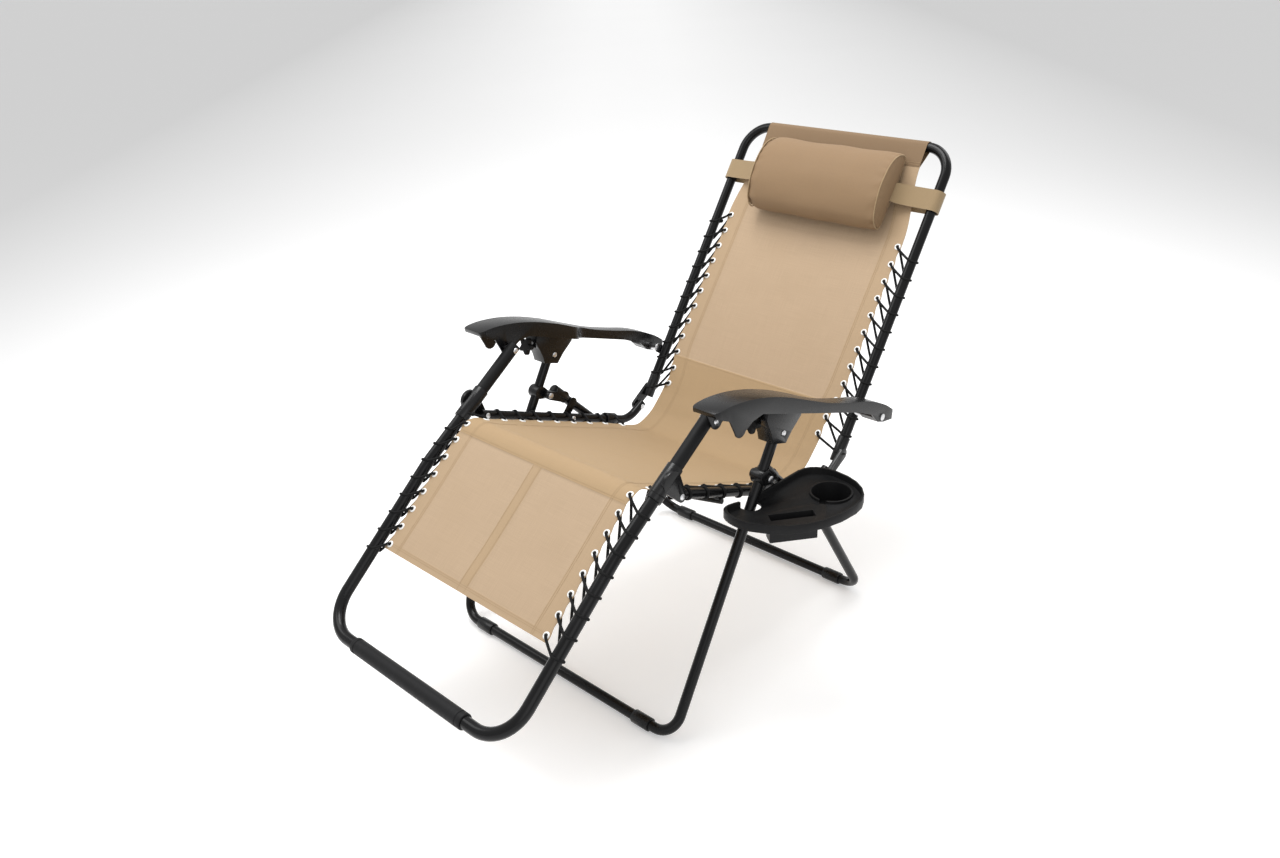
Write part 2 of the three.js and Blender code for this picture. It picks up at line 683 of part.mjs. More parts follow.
/** The five-lobed clamping knob in front of the slider housing, with its stud. */
function starKnob(side) {
  const u0 = SLIDER.clone().sub(ARM_FRONT).dot(ARM_DIRECTION);
  const n0 = SLIDER.clone().sub(ARM_FRONT).dot(ARM_NORMAL);
  const stem = armPoint(u0 - 60, n0 + 17);
  const star = new THREE.Shape();
  const lobes = 5;
  const steps = lobes * 6;
  for (let k = 0; k < steps; k += 1) {
    const angle = (2 * Math.PI * k) / steps;
    const reach = 16.3 + 3.6 * Math.cos(lobes * angle);
    const point = [reach * Math.cos(angle), reach * Math.sin(angle)];
    if (k === 0) star.moveTo(...point);
    else star.lineTo(...point);
  }
  star.closePath();
  const head = new THREE.ExtrudeGeometry(star, {
    depth: 9,
    bevelEnabled: true,
    bevelThickness: 1.5,
    bevelSize: 1.5,
    bevelOffset: -1.5,
    bevelSegments: 1,
    curveSegments: 1,
  });
  const axis = at3(0, ARM_DIRECTION);
  const across = new THREE.Vector3(1, 0, 0);
  head.applyMatrix4(new THREE.Matrix4().makeBasis(across, axis.clone().cross(across), axis));
  const seat = along(stem, ARM_DIRECTION, -22);
  head.translate(side * KNOB_X, seat.x, seat.y);
  return join(head, knobShaft(stem, side, 4, -14, 14));
}

function addArms() {
  for (const side of SIDES) {
    const name = SIDE_NAME[side];
    piece(`armrest_${name}`, armrest(side), PLASTIC);
    piece(`slider_${name}`, slider(side), PLASTIC);
    piece(`slider_pin_${name}`, rivet(SLIDER, side * (FRONT_X - 18 - GAP), side * (FRONT_X + 18 + GAP), 6.5), RIVET);
    piece(`star_knob_${name}`, starKnob(side), PLASTIC);
  }
}

// ---------------------------------------------------------------- sling, lacing and pillow

/** A stretch of sling across the chair, along a side-view line through points. */
function panel(points, bends = 1) {
  const line = new THREE.SplineCurve(points);
  const steps = bends * (points.length - 1);
  const upper = [];
  const lower = [];
  for (let k = 0; k <= steps; k += 1) {
    const tangent = line.getTangent(k / steps);
    const normal = new THREE.Vector2(-tangent.y, tangent.x);
    upper.push(line.getPoint(k / steps).addScaledVector(normal, SLING_THICK / 2));
    lower.unshift(line.getPoint(k / steps).addScaledVector(normal, -SLING_THICK / 2));
  }
  return slab([...upper, ...lower], -SLING_HALF, SLING_HALF);
}

/** Elastic cord laced to and fro between the sling's edge and the tube beside it. */
function lacing(side, start, end, loops, outer) {
  const direction = end.clone().sub(start).normalize();
  const length = start.distanceTo(end);
  const inner = SLING_HALF + LACE_RADIUS + 1;
  const corners = [];
  for (let k = 0; k <= 2 * loops; k += 1) {
    const place = along(start, direction, (length * k) / (2 * loops));
    corners.push(at3(side * (k % 2 === 0 ? inner : outer - LACE_RADIUS - 1), place));
  }
  return tube(corners, corners.slice(2).map(() => 3), LACE_RADIUS, 4, 1);
}

/** The half-round head pillow: a flat back and a rounded front, as (along the back, out of it). */
function pillow() {
  const low = along(BACK_FOOT, BACK_SLOPE, PILLOW_AT, PILLOW_STAND_OFF);
  const outward = new THREE.Vector2(-BACK_SLOPE.y, BACK_SLOPE.x);
  const shape = new THREE.Shape();
  const place = (s, t) => low.clone().addScaledVector(BACK_SLOPE, s).addScaledVector(outward, t);
  const points = [[-24, 0], [-29, 16], [-20, 38], [8, 60], [52, 70], [100, 64], [134, 42], [148, 14], [148, 0]];
  const first = place(...points[0]);
  shape.moveTo(first.x, first.y);
  shape.splineThru(points.slice(1).map(([s, t]) => place(s, t)));
  shape.closePath();
  return slab(shape, -PILLOW_HALF, PILLOW_HALF, 3);
}

/** The pillow's elastic strap: from one pillow end round both back tubes and behind the sling. */
function pillowStrap() {
  const near = BACK_SLING_UP + SLING_THICK / 2 + 0.5;
  const far = near + STRAP_THICK;
  const loop = (half, reach) => {
    const shape = new THREE.Shape();
    shape.moveTo(-reach, half);
    shape.absarc(-BACK_X, 0, half, Math.PI / 2, 1.5 * Math.PI, false);
    shape.absarc(BACK_X, 0, half, -Math.PI / 2, Math.PI / 2, false);
    shape.lineTo(reach, half);
    return shape;
  };
  const outer = loop(far, PILLOW_HALF + GAP);
  outer.lineTo(PILLOW_HALF + GAP, near);
  outer.lineTo(-PILLOW_HALF - GAP, near);
  outer.closePath();
  const inner = loop(near, PILLOW_HALF + GAP);
  inner.closePath();
  const mouth = new THREE.Shape([
    new THREE.Vector2(-PILLOW_HALF - GAP, 0),
    new THREE.Vector2(PILLOW_HALF + GAP, 0),
    new THREE.Vector2(PILLOW_HALF + GAP, 60),
    new THREE.Vector2(-PILLOW_HALF - GAP, 60),
  ]);
  const band = cut(
    planSlab(outer, 0, STRAP_WIDTH),
    planSlab(inner, -1, STRAP_WIDTH + 1),
    planSlab(mouth, -1, STRAP_WIDTH + 1),
  );
  const start = along(BACK_FOOT, BACK_SLOPE, STRAP_AT);
  const axis = at3(0, BACK_SLOPE);
  const across = new THREE.Vector3(-1, 0, 0);
  band.applyMatrix4(new THREE.Matrix4().makeBasis(across, axis.clone().cross(across), axis));
  return band.translate(0, start.x, start.y);
}

function addSoftParts() {
  const legStart = along(LEG_TOE, LEG_LOWER, 172, LEG_SLING_UP);
  const legEnd = along(LEG_TOE, LEG_LOWER, 472, LEG_SLING_UP);
  piece('sling_leg', panel([legStart, legEnd]), FABRIC);
  const rail = RAIL_LOW.clone().sub(KNEE).normalize();
  const seatLine = [
    along(LEG_TOE, LEG_LOWER, 479, LEG_SLING_UP),
    along(LEG_TOE, LEG_LOWER, 505, LEG_SLING_UP - 2),
    along(KNEE, rail, -22, 2),
    along(KNEE, rail, 30, -8),
    along(KNEE, rail, 200, -14),
    along(KNEE, rail, 370, -6),
    along(BACK_FOOT, BACK_SLOPE, -22, 36),
    along(BACK_FOOT, BACK_SLOPE, 30, BACK_SLING_UP + 1),
  ];
  piece('sling_seat', panel(seatLine, 2), FABRIC);
  const seatStart = along(KNEE, rail, 34);
  const seatEnd = along(KNEE, rail, 385);
  const backStart = along(BACK_FOOT, BACK_SLOPE, 37, BACK_SLING_UP);
  const backEnd = along(BACK_TOP, BACK_SLOPE, -BACK_TUBE - 11, BACK_SLING_UP);
  piece('sling_back', panel([backStart, backEnd]), FABRIC);
  const hem = BACK_X - BACK_CORNER - 2;
  piece('sling_top_sleeve', crossSleeve(BACK_TOP, BACK_TUBE + 0.5, BACK_TUBE + 3, -hem, hem, 0.5), FABRIC);
  for (const side of SIDES) {
    const name = SIDE_NAME[side];
    const legLace = lacing(side, along(legStart, LEG_LOWER, 12, -LEG_SLING_UP), along(legEnd, LEG_LOWER, -40, -LEG_SLING_UP), 8, LEG_X - LEG_TUBE);
    piece(`leg_lacing_${name}`, legLace, CORD);
    piece(`seat_lacing_${name}`, lacing(side, seatStart, seatEnd, 9, RAIL_X - RAIL_TUBE - 5), CORD);
    const laceStart = along(backStart, BACK_SLOPE, 20, -BACK_SLING_UP);
    const laceEnd = along(laceStart, BACK_SLOPE, 446);
    piece(`back_lacing_${name}`, lacing(side, laceStart, laceEnd, 12, BACK_X - BACK_TUBE), CORD);
  }
  piece('head_pillow', pillow(), FABRIC);
  piece('pillow_strap', pillowStrap(), FABRIC);
}

// ---------------------------------------------------------------- tray

const TRAY_TOP = 434;
const TRAY_RIM = 18;
const CUP_DEPTH = 32; // the cup well, below the tray's underside
const TRAY_FLOOR = 5;

/** The tray's half-moon outline, as (x, y), drawn in by an inset. */
function trayOutline(inset = 0) {
  const shape = new THREE.Shape();
  shape.moveTo(313 + inset, 240);
  shape.lineTo(316 + inset, 392);
  shape.bezierCurveTo(318 + inset, 428 - inset, 350, 439 - inset, 376, 439 - inset);
  shape.bezierCurveTo(440, 439 - inset, 484 - inset, 400, 484 - inset, 348);
  shape.bezierCurveTo(484 - inset, 262, 440, 196 + inset, 372, 172 + inset);
  shape.bezierCurveTo(345, 164 + inset, 318, 168 + inset, 302 + inset, 180 + inset);
  shape.bezierCurveTo(293 + inset, 190, 294 + inset, 206, 313 + inset, 240);
  shape.closePath();
  return shape;
}

function rectangle(x0, y0, x1, y1, turn, pivotX, pivotY) {
  const shape = new THREE.Shape();
  const corners = [[x0, y0], [x1, y0], [x1, y1], [x0, y1]];
  corners.forEach(([x, y], index) => {
    const px = pivotX + (x - pivotX) * Math.cos(turn) - (y - pivotY) * Math.sin(turn);
    const py = pivotY + (x - pivotX) * Math.sin(turn) + (y - pivotY) * Math.cos(turn);
    if (index === 0) shape.moveTo(px, py);
    else shape.lineTo(px, py);
  });
  shape.closePath();
  return shape;
}

function disc(x, y, radius) {
  const shape = new THREE.Shape();
  shape.absarc(x, y, radius, 0, 2 * Math.PI, false);
  return shape;
}

function tray() {
  const bottom = TRAY_TOP - TRAY_RIM;
  const body = planSlab(trayOutline(), bottom, TRAY_TOP);
  const well = planSlab(trayOutline(5), bottom + TRAY_FLOOR, TRAY_TOP + 5);
  const turn = 0.92;
  const slotX = 400;
  const slotY = 262;
  const pocket = planSlab(rectangle(slotX - 46, slotY - 14, slotX + 46, slotY + 14, turn, slotX, slotY), bottom - 42, bottom + 1);
  const wallTop = bottom + TRAY_FLOOR + 5;
  const cupWall = join(
    planSlab(disc(408, 376, 42), bottom - CUP_DEPTH - 3, wallTop, 20),
    planSlab(rectangle(398, 326, 420, 352, 0.5, 408, 350), bottom - CUP_DEPTH - 3, bottom + 1),
  );
  const solid = join(cut(body, well), pocket, cupWall);
  const mouth = planSlab(rectangle(slotX - 43, slotY - 11, slotX + 43, slotY + 11, turn, slotX, slotY), bottom - 39, TRAY_TOP + 5);
  const cup = planSlab(disc(408, 376, 38), bottom - CUP_DEPTH, TRAY_TOP + 5, 20);
  const handle = planSlab(rectangle(402, 330, 416, 350, 0.5, 408, 350), bottom - CUP_DEPTH, TRAY_TOP + 5);
  const tubeAt = (z) => along(FRONT_BAR, FRONT_UP, (z - FRONT_BAR.y) / FRONT_UP.y).x;
  const clearance = BASE_TUBE + 1;
  const notch = new THREE.Shape();
  const front = tubeAt(bottom) - clearance / FRONT_UP.y;
  const rear = tubeAt(TRAY_TOP) + clearance / FRONT_UP.y;
  notch.moveTo(FRONT_X, front);
  notch.absarc(FRONT_X, (front + rear) / 2, (rear - front) / 2, -Math.PI / 2, Math.PI / 2, false);
  notch.lineTo(FRONT_X - 60, rear);
  notch.lineTo(FRONT_X - 60, front);
  notch.closePath();
  return cut(solid, mouth, cup, handle, planSlab(notch, bottom - 30, TRAY_TOP + 5));
}

// ---------------------------------------------------------------- assembly

addBases();
addSeat();
addLeg();
addBack();
addArms();
addSoftParts();
piece('side_tray', tray(), PLASTIC);

const box = new THREE.Box3().setFromObject(chair);
const centre = box.getCenter(new THREE.Vector3());
chair.position.set(-centre.x, -centre.y, -box.min.z);

const group = new THREE.Group();
group.add(chair);

export default group;
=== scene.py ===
"""The finished look of a zero gravity recliner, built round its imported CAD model."""

import json
import logging
import math
from dataclasses import dataclass, field
from enum import Enum
from typing import Any, Sequence

import bmesh
import bpy
from mathutils import Matrix, Vector, noise


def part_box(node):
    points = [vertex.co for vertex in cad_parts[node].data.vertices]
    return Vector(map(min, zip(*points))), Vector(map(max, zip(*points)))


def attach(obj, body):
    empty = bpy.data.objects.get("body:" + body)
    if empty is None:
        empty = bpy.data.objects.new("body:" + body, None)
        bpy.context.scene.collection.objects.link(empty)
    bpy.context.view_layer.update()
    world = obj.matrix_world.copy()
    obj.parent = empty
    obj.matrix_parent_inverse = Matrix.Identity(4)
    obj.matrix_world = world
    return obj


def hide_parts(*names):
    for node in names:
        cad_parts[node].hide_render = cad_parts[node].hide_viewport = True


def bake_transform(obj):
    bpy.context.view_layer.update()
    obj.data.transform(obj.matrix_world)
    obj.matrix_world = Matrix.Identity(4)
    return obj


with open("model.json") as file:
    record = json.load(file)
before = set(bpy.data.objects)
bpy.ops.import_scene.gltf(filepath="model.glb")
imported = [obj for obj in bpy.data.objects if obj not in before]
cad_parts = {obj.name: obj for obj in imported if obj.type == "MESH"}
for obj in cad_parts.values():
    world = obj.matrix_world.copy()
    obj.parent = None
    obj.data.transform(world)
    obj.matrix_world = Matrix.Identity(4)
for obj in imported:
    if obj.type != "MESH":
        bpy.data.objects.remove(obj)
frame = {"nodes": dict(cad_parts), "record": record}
LOG = logging.getLogger("recliner")
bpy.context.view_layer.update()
SIDES = {"left": 1.0, "right": -1.0}

# ---------------------------------------------------------------- layout


@dataclass(frozen=True)
class Layout:
    """Side-view pivots (y, z) and tube planes of the chair, in millimetres, in its working frame."""

    shift: Vector
    knee: Vector = Vector((82.0, 499.0))
    arm_front: Vector = Vector((173.0, 617.5))
    arm_rear: Vector = Vector((638.4, 469.3))
    slider: Vector = Vector((316.0, 552.0))
    front_bar: Vector = Vector((0.0, 14.0))
    rear_bar: Vector = Vector((659.0, 14.0))
    rear_bend: Vector = Vector((494.0, 279.0))
    rear_top: Vector = Vector((306.0, 467.0))
    rail_low: Vector = Vector((505.0, 329.0))
    leg_toe: Vector = Vector((-360.0, 202.0))
    leg_bend: Vector = Vector((-75.0, 446.0))
    back_foot: Vector = Vector((584.6, 366.0))
    back_slope: Vector = Vector((400.0, 570.0)).normalized()
    back_length: float = 712.0
    front_x: float = 320.0
    rear_x: float = 300.0
    rail_x: float = 271.0
    leg_x: float = 274.0
    back_x: float = 276.0

    @staticmethod
    def from_record(record: dict[str, Any]) -> "Layout":
        """The layout, placed by the slider's pivot.

        Args:
            record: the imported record.

        Returns:
            The layout whose shift carries working points into the row frame.
        """
        joint = next(j for j in record["behaviour"]["joints"] if j["name"] == "slider_lean")
        x, y, z = (1000.0 * value for value in joint["pos_m"])
        return Layout(Vector((x, y - 316.0, z - 552.0)))

    def at(self, x: float, point: Sequence[float]) -> Vector:
        """A working point at a lateral x, in metres in the row frame."""
        return Vector((x, point[0], point[1])) * 0.001 + self.shift * 0.001

    @property
    def link(self) -> Vector:
        """The link of the parallelogram, from knee to armrest."""
        return self.arm_front - self.knee

    @property
    def back(self) -> Vector:
        """The pivot between seat rail and back frame."""
        return self.arm_rear - self.link

    @property
    def arm_along(self) -> Vector:
        """Unit direction along the armrest, rearwards."""
        return (self.arm_rear - self.arm_front).normalized()

    @property
    def arm_up(self) -> Vector:
        """Unit direction out of the armrest's top."""
        along = self.arm_along
        return Vector((-along.y, along.x))

    @property
    def seat(self) -> Vector:
        """The pivot between rear base and seat rail."""
        link = self.link
        return (
            self.slider
            + self.arm_along * link.dot(self.arm_along)
            - self.arm_up * link.dot(self.arm_up)
        )

    @property
    def back_top(self) -> Vector:
        """The centre line of the back frame's top bar."""
        return self.back_foot + self.back_slope * self.back_length



LAYOUT = Layout.from_record(frame["record"])


def stepped(start: Vector, direction: Vector, distance: float, offset: float = 0.0) -> Vector:
    """A side-view point at a distance along a line, and an offset to its upper side.

    Args:
        start: the line's start.
        direction: the line's unit direction.
        distance: how far along.
        offset: how far out, to the left of the direction.

    Returns:
        The point.
    """
    return start + direction * distance + Vector((-direction.y, direction.x)) * offset


# ---------------------------------------------------------------- materials


class Shade:
    """A shader socket whose arithmetic adds Math nodes."""

    def __init__(self, finish: "Finish", socket: Any) -> None:
        """Args: finish: the material being made. socket: the output socket."""
        self.finish = finish
        self.socket = socket

    def _math(self, operation: str, *values: Any) -> "Shade":
        """One Math node on this finish's tree."""
        return self.finish.node("ShaderNodeMath", {"operation": operation}, dict(enumerate(values)))

    def __add__(self, other: Any) -> "Shade":
        """Sum."""
        return self._math("ADD", self, other)

    __radd__ = __add__

    def __sub__(self, other: Any) -> "Shade":
        """Difference."""
        return self._math("SUBTRACT", self, other)

    def __rsub__(self, other: Any) -> "Shade":
        """Reflected difference."""
        return self._math("SUBTRACT", other, self)

    def __mul__(self, other: Any) -> "Shade":
        """Product."""
        return self._math("MULTIPLY", self, other)

    __rmul__ = __mul__

    def __truediv__(self, other: Any) -> "Shade":
        """Quotient."""
        return self._math("DIVIDE", self, other)

    def __pow__(self, other: Any) -> "Shade":
        """Power."""
        return self._math("POWER", self, other)

    def sine(self) -> "Shade":
        """Sine, in radians."""
        return self._math("SINE", self)

    def clamped(self) -> "Shade":
        """The value held between 0 and 1."""
        return self._math("MINIMUM", self._math("MAXIMUM", self, 0.0), 1.0)


@dataclass(frozen=True)
class Colour:
    """A linear colour."""

    red: float
    green: float
    blue: float

    def rgba(self) -> tuple[float, float, float, float]:
        """The colour as four numbers."""
        return (self.red, self.green, self.blue, 1.0)

    def scaled(self, factor: float) -> "Colour":
        """The colour, lighter or darker."""
        return Colour(self.red * factor, self.green * factor, self.blue * factor)


class Finish:
    """A material under construction: one tree, one principled shader."""

    def __init__(self, name: str) -> None:
        """Starts the material's tree.

        Args:
            name: the material's name.
        """
        self.material = bpy.data.materials.new(name)
        self.material.use_nodes = True
        self.tree = self.material.node_tree
        self.shader = self.tree.nodes["Principled BSDF"]

    def node(self, kind: str, settings: dict[str, Any], inputs: dict[Any, Any], out: Any = 0) -> Shade:
        """Adds a node, sets it, and feeds it.

        Args:
            kind: the node's type.
            settings: its properties.
            inputs: socket names or numbers, with values or shades.
            out: the output wanted.

        Returns:
            The wanted output.
        """
        made = self.tree.nodes.new(kind)
        for key, value in settings.items():
            setattr(made, key, value)
        for key, value in inputs.items():
            self.feed(made.inputs[key], value)
        return Shade(self, made.outputs[out])

    def feed(self, socket: Any, value: Any) -> None:
        """Links a shade to a socket, or sets its value."""
        if isinstance(value, Shade):
            self.tree.links.new(value.socket, socket)
        elif isinstance(value, Colour):
            socket.default_value = value.rgba()
        else:
            socket.default_value = value

    def set(self, **inputs: Any) -> "Finish":
        """Sets the principled shader's sockets; an underscore in a name is a space."""
        for key, value in inputs.items():
            self.feed(self.shader.inputs[key.replace("_", " ")], value)
        return self

    def place(self) -> Shade:
        """Object coordinates, in metres."""
        return self.node("ShaderNodeTexCoord", {}, {}, "Object")

    def grain(self, where: Shade, scale: float, detail: float = 2.0, rough: float = 0.5) -> Shade:
        """Noise from 0 to 1."""
        return self.node(
            "ShaderNodeTexNoise", {}, {"Vector": where, "Scale": scale, "Detail": detail, "Roughness": rough}
        )

    def stretched(self, where: Shade, scale: Sequence[float]) -> Shade:
        """Coordinates multiplied axis by axis."""
        return self.node(
            "ShaderNodeVectorMath", {"operation": "MULTIPLY"}, {0: where, 1: tuple(scale)}
        )

    def mix(self, factor: Any, first: Any, second: Any) -> Shade:
        """Two colours mixed."""
        made = self.tree.nodes.new("ShaderNodeMix")
        made.data_type = "RGBA"
        for index, value in ((0, factor), (6, first), (7, second)):
            self.feed(made.inputs[index], value)
        return Shade(self, made.outputs[2])

    def ramp(self, value: Shade, low: float, high: float) -> Shade:
        """A value stretched so that low goes to 0 and high to 1."""
        return self.node("ShaderNodeMapRange", {}, {"Value": value, "From Min": low, "From Max": high})

    def bump(self, height: Shade, distance: float, strength: float = 1.0) -> Shade:
        """A Bump node's normal."""
        return self.node(
            "ShaderNodeBump", {}, {"Strength": strength, "Distance": distance, "Height": height}
        )


@dataclass(frozen=True)
class PowderCoat:
    """Gloss black powder coat with faint orange peel and handling marks."""

    name: str = "powder coat"
    colour: Colour = Colour(0.0035, 0.0035, 0.0038)

    def make(self) -> bpy.types.Material:
        """Builds the material."""
        finish = Finish(self.name)
        place = finish.place()
        peel = finish.grain(place, 420.0, 2.0)
        marks = finish.grain(finish.stretched(place, (1.0, 1.0, 0.4)), 34.0, 5.0, 0.62)
        dust = finish.ramp(finish.grain(place, 9.0, 4.0), 0.46, 0.74)
        finish.set(
            Base_Color=finish.mix(dust * 0.5, self.colour, self.colour.scaled(2.6)),
            Roughness=0.16 + 0.14 * marks + 0.06 * dust,
            Normal=finish.bump(peel, 0.00005, 0.7),
            Specular_IOR_Level=0.16,
            Coat_Weight=0.08,
            Coat_Roughness=0.1,
        )
        return finish.material


@dataclass(frozen=True)
class Moulding:
    """Black moulded plastic with a fine spark-eroded grain."""

    name: str
    colour: Colour
    roughness: float
    grain_depth: float = 0.00006
    gloss: float = 0.14

    def make(self) -> bpy.types.Material:
        """Builds the material."""
        finish = Finish(self.name)
        place = finish.place()
        grain = finish.grain(place, 1500.0, 2.0)
        cloud = finish.grain(place, 16.0, 4.0)
        rub = finish.ramp(finish.grain(finish.stretched(place, (3.0, 1.0, 1.0)), 46.0, 5.0, 0.65), 0.5, 0.8)
        finish.set(
            Base_Color=finish.mix(cloud * 0.6 + rub * 0.3, self.colour, self.colour.scaled(1.9)),
            Roughness=self.roughness + 0.14 * cloud - 0.08 * rub,
            Normal=finish.bump(grain, self.grain_depth, 0.8),
            Specular_IOR_Level=self.gloss,
        )
        return finish.material


@dataclass(frozen=True)
class Plating:
    """Bright plated steel with fine scratches."""

    name: str
    colour: Colour
    roughness: float = 0.24
    metallic: float = 1.0

    def make(self) -> bpy.types.Material:
        """Builds the material."""
        finish = Finish(self.name)
        place = finish.place()
        scratch = finish.grain(finish.stretched(place, (1.0, 12.0, 2.0)), 380.0, 3.0)
        cloud = finish.grain(place, 120.0, 3.0)
        finish.set(
            Base_Color=finish.mix(cloud, self.colour, self.colour.scaled(0.8)),
            Metallic=self.metallic,
            Roughness=self.roughness + 0.16 * cloud,
            Normal=finish.bump(scratch, 0.00003, 0.6),
        )
        return finish.material


@dataclass(frozen=True)
class Weave:
    """Coated-yarn sling mesh: plain weave, slubby in both directions, on the piece's own UV map in metres."""

    name: str
    single: Colour
    double: Colour
    pitch: float = 0.0021

    def make(self) -> bpy.types.Material:
        """Builds the material."""
        finish = Finish(self.name)
        uv = finish.node("ShaderNodeUVMap", {"uv_map": "cloth"}, {})
        turns = 2.0 * math.pi / self.pitch
        across = finish.node("ShaderNodeSeparateXYZ", {}, {0: uv}, 0)
        along = finish.node("ShaderNodeSeparateXYZ", {}, {0: uv}, 1)
        warp = (across * turns).sine()
        weft = (along * turns).sine()
        yarn = 0.5 + 0.25 * warp + 0.25 * weft
        crossing = 0.5 + 0.5 * warp * weft
        warp_slub = finish.grain(finish.stretched(uv, (900.0, 16.0, 1.0)), 1.0, 3.0, 0.6)
        weft_slub = finish.grain(finish.stretched(uv, (14.0, 800.0, 1.0)), 1.0, 3.0, 0.6)
        cloud = finish.grain(finish.stretched(uv, (7.0, 5.0, 1.0)), 1.0, 3.0, 0.55)
        layers = finish.node("ShaderNodeAttribute", {"attribute_name": "layers"}, {}, "Fac")
        body = finish.mix(layers, self.single, self.double)
        slub = (finish.ramp(warp_slub, 0.3, 0.7) * 0.5 + finish.ramp(weft_slub, 0.3, 0.7) * 0.5).clamped()
        shaded = finish.mix(0.30 - 0.30 * slub, body, self.double.scaled(0.55))
        tinted = finish.mix(finish.ramp(cloud, 0.5, 0.85) * 0.16, shaded, self.double.scaled(0.8))
        finish.set(
            Base_Color=finish.mix(0.22 - 0.22 * yarn, tinted, self.double.scaled(0.3)),
            Roughness=0.6 + 0.2 * slub,
            Normal=finish.bump(yarn * 0.6 + crossing * 0.4 + slub * 0.5, 0.00035, 0.75),
            Sheen_Weight=0.05,
            Sheen_Roughness=0.5,
            Specular_IOR_Level=0.35,
        )
        return finish.material


@dataclass(frozen=True)
class Webbing:
    """Ribbed woven elastic on the piece's own UV map in metres."""

    name: str
    colour: Colour
    rib: float = 0.0018
    sheen: float = 0.2

    def make(self) -> bpy.types.Material:
        """Builds the material."""
        finish = Finish(self.name)
        uv = finish.node("ShaderNodeUVMap", {"uv_map": "cloth"}, {})
        along = finish.node("ShaderNodeSeparateXYZ", {}, {0: uv}, 1)
        across = finish.node("ShaderNodeSeparateXYZ", {}, {0: uv}, 0)
        turns = 2.0 * math.pi / self.rib
        ribs = 0.5 + 0.5 * (along * turns).sine() * (across * turns * 0.5).sine()
        fuzz = finish.grain(finish.place(), 900.0, 3.0)
        finish.set(
            Base_Color=finish.mix(ribs * 0.35 + fuzz * 0.2, self.colour, self.colour.scaled(0.55)),
            Roughness=0.72 + 0.15 * fuzz,
            Normal=finish.bump(ribs + fuzz * 0.3, 0.0003, 0.8),
            Sheen_Weight=self.sheen,
            Specular_IOR_Level=0.25,
        )
        return finish.material


class Look(Enum):
    """The chair's finishes."""

    PAINT = PowderCoat()
    SATIN_PLASTIC = Moulding("satin plastic", Colour(0.0035, 0.0035, 0.0038), 0.2, 0.00005, 0.3)
    MATTE_PLASTIC = Moulding("matte plastic", Colour(0.006, 0.006, 0.0063), 0.4, 0.0001)
    GRIP = Moulding("grip sleeve", Colour(0.009, 0.009, 0.0095), 0.46, 0.00016)
    RIVET = Plating("plated rivet", Colour(0.72, 0.72, 0.73))
    EYELET = Plating("eyelet", Colour(0.9, 0.9, 0.88), 0.3, 0.35)
    SLING = Weave("sling weave", Colour(0.465, 0.338, 0.222), Colour(0.405, 0.276, 0.148))
    # Painted shade: the sling's yarn again in darker colours, for the pillow and the top sleeve, where the top of
    # the back gets less light.
    SHADED_WEAVE = Weave("shaded weave", Colour(0.205, 0.13, 0.068), Colour(0.28, 0.178, 0.093))
    CORD = Webbing("elastic cord", Colour(0.003, 0.003, 0.0032), 0.0016, 0.0)
    THREAD = Webbing("sewing thread", Colour(0.36, 0.25, 0.135), 0.0008)
    ELASTIC = Webbing("tan elastic", Colour(0.31, 0.22, 0.12))

    @property
    def material(self) -> bpy.types.Material:
        """The finish's material, made once."""
        return MATERIALS.setdefault(self.name, None) or self._made()

    def _made(self) -> bpy.types.Material:
        """Builds and keeps the material."""
        MATERIALS[self.name] = self.value.make()
        return MATERIALS[self.name]


MATERIALS: dict[str, Any] = {}

# ---------------------------------------------------------------- shaping


def finished(bm: bmesh.types.BMesh, name: str, look: Look, crease: float = 35.0) -> bpy.types.Object:
    """Turns a bmesh into a shaded object at the origin.

    Args:
        bm: the shape, in metres in the row frame; it is freed.
        name: the piece's name.
        look: its finish.
        crease: edges sharper than this many degrees stay sharp.

    Returns:
        The object.
    """
    bmesh.ops.remove_doubles(bm, verts=bm.verts, dist=1e-6)
    bmesh.ops.recalc_face_normals(bm, faces=bm.faces)
    for face in bm.faces:
        face.smooth = True
    mesh = bpy.data.meshes.new(name)
    bm.to_mesh(mesh)
    bm.free()
    mesh.set_sharp_from_angle(angle=math.radians(crease))
    mesh.materials.append(look.material)
    piece = bpy.data.objects.new(name, mesh)
    bpy.context.scene.collection.objects.link(piece)
    return piece


def bent_path(corners: Sequence[Vector], radii: Sequence[float], steps: int = 10) -> list[Vector]:
    """Stations along straight runs joined by round bends.

    Args:
        corners: the path's corners.
        radii: one bend radius for each inner corner.
        steps: stations in a bend.

    Returns:
        The stations.
    """
    stations = [corners[0].copy()]
    for index in range(1, len(corners) - 1):
        into = (corners[index] - corners[index - 1]).normalized()
        out = (corners[index + 1] - corners[index]).normalized()
        turn = into.angle(out)
        radius = radii[index - 1]
        inward = (out - into).normalized()
        centre = corners[index] + inward * (radius / math.cos(turn / 2.0))
        start = corners[index] - into * (radius * math.tan(turn / 2.0))
        axis = into.cross(out).normalized()
        for k in range(steps + 1):
            stations.append(centre + Matrix.Rotation(turn * k / steps, 3, axis) @ (start - centre))
    stations.append(corners[-1].copy())
    return stations


def flowing(points: Sequence[Vector], per_span: int) -> list[Vector]:
    """A smooth curve through points.

    Args:
        points: what it passes through.
        per_span: stations from one point to the next.

    Returns:
        The stations.
    """
    padded = [points[0] * 2 - points[1], *points, points[-1] * 2 - points[-2]]
    curve = []
    for a, b, c, d in zip(padded, padded[1:], padded[2:], padded[3:]):
        for k in range(per_span):
            t = k / per_span
            curve.append(
                0.5 * ((2 * b) + (c - a) * t + (2 * a - 5 * b + 4 * c - d) * t * t
                       + (3 * b - 3 * c + d - a) * t * t * t)
            )
    curve.append(points[-1].copy())
    return curve


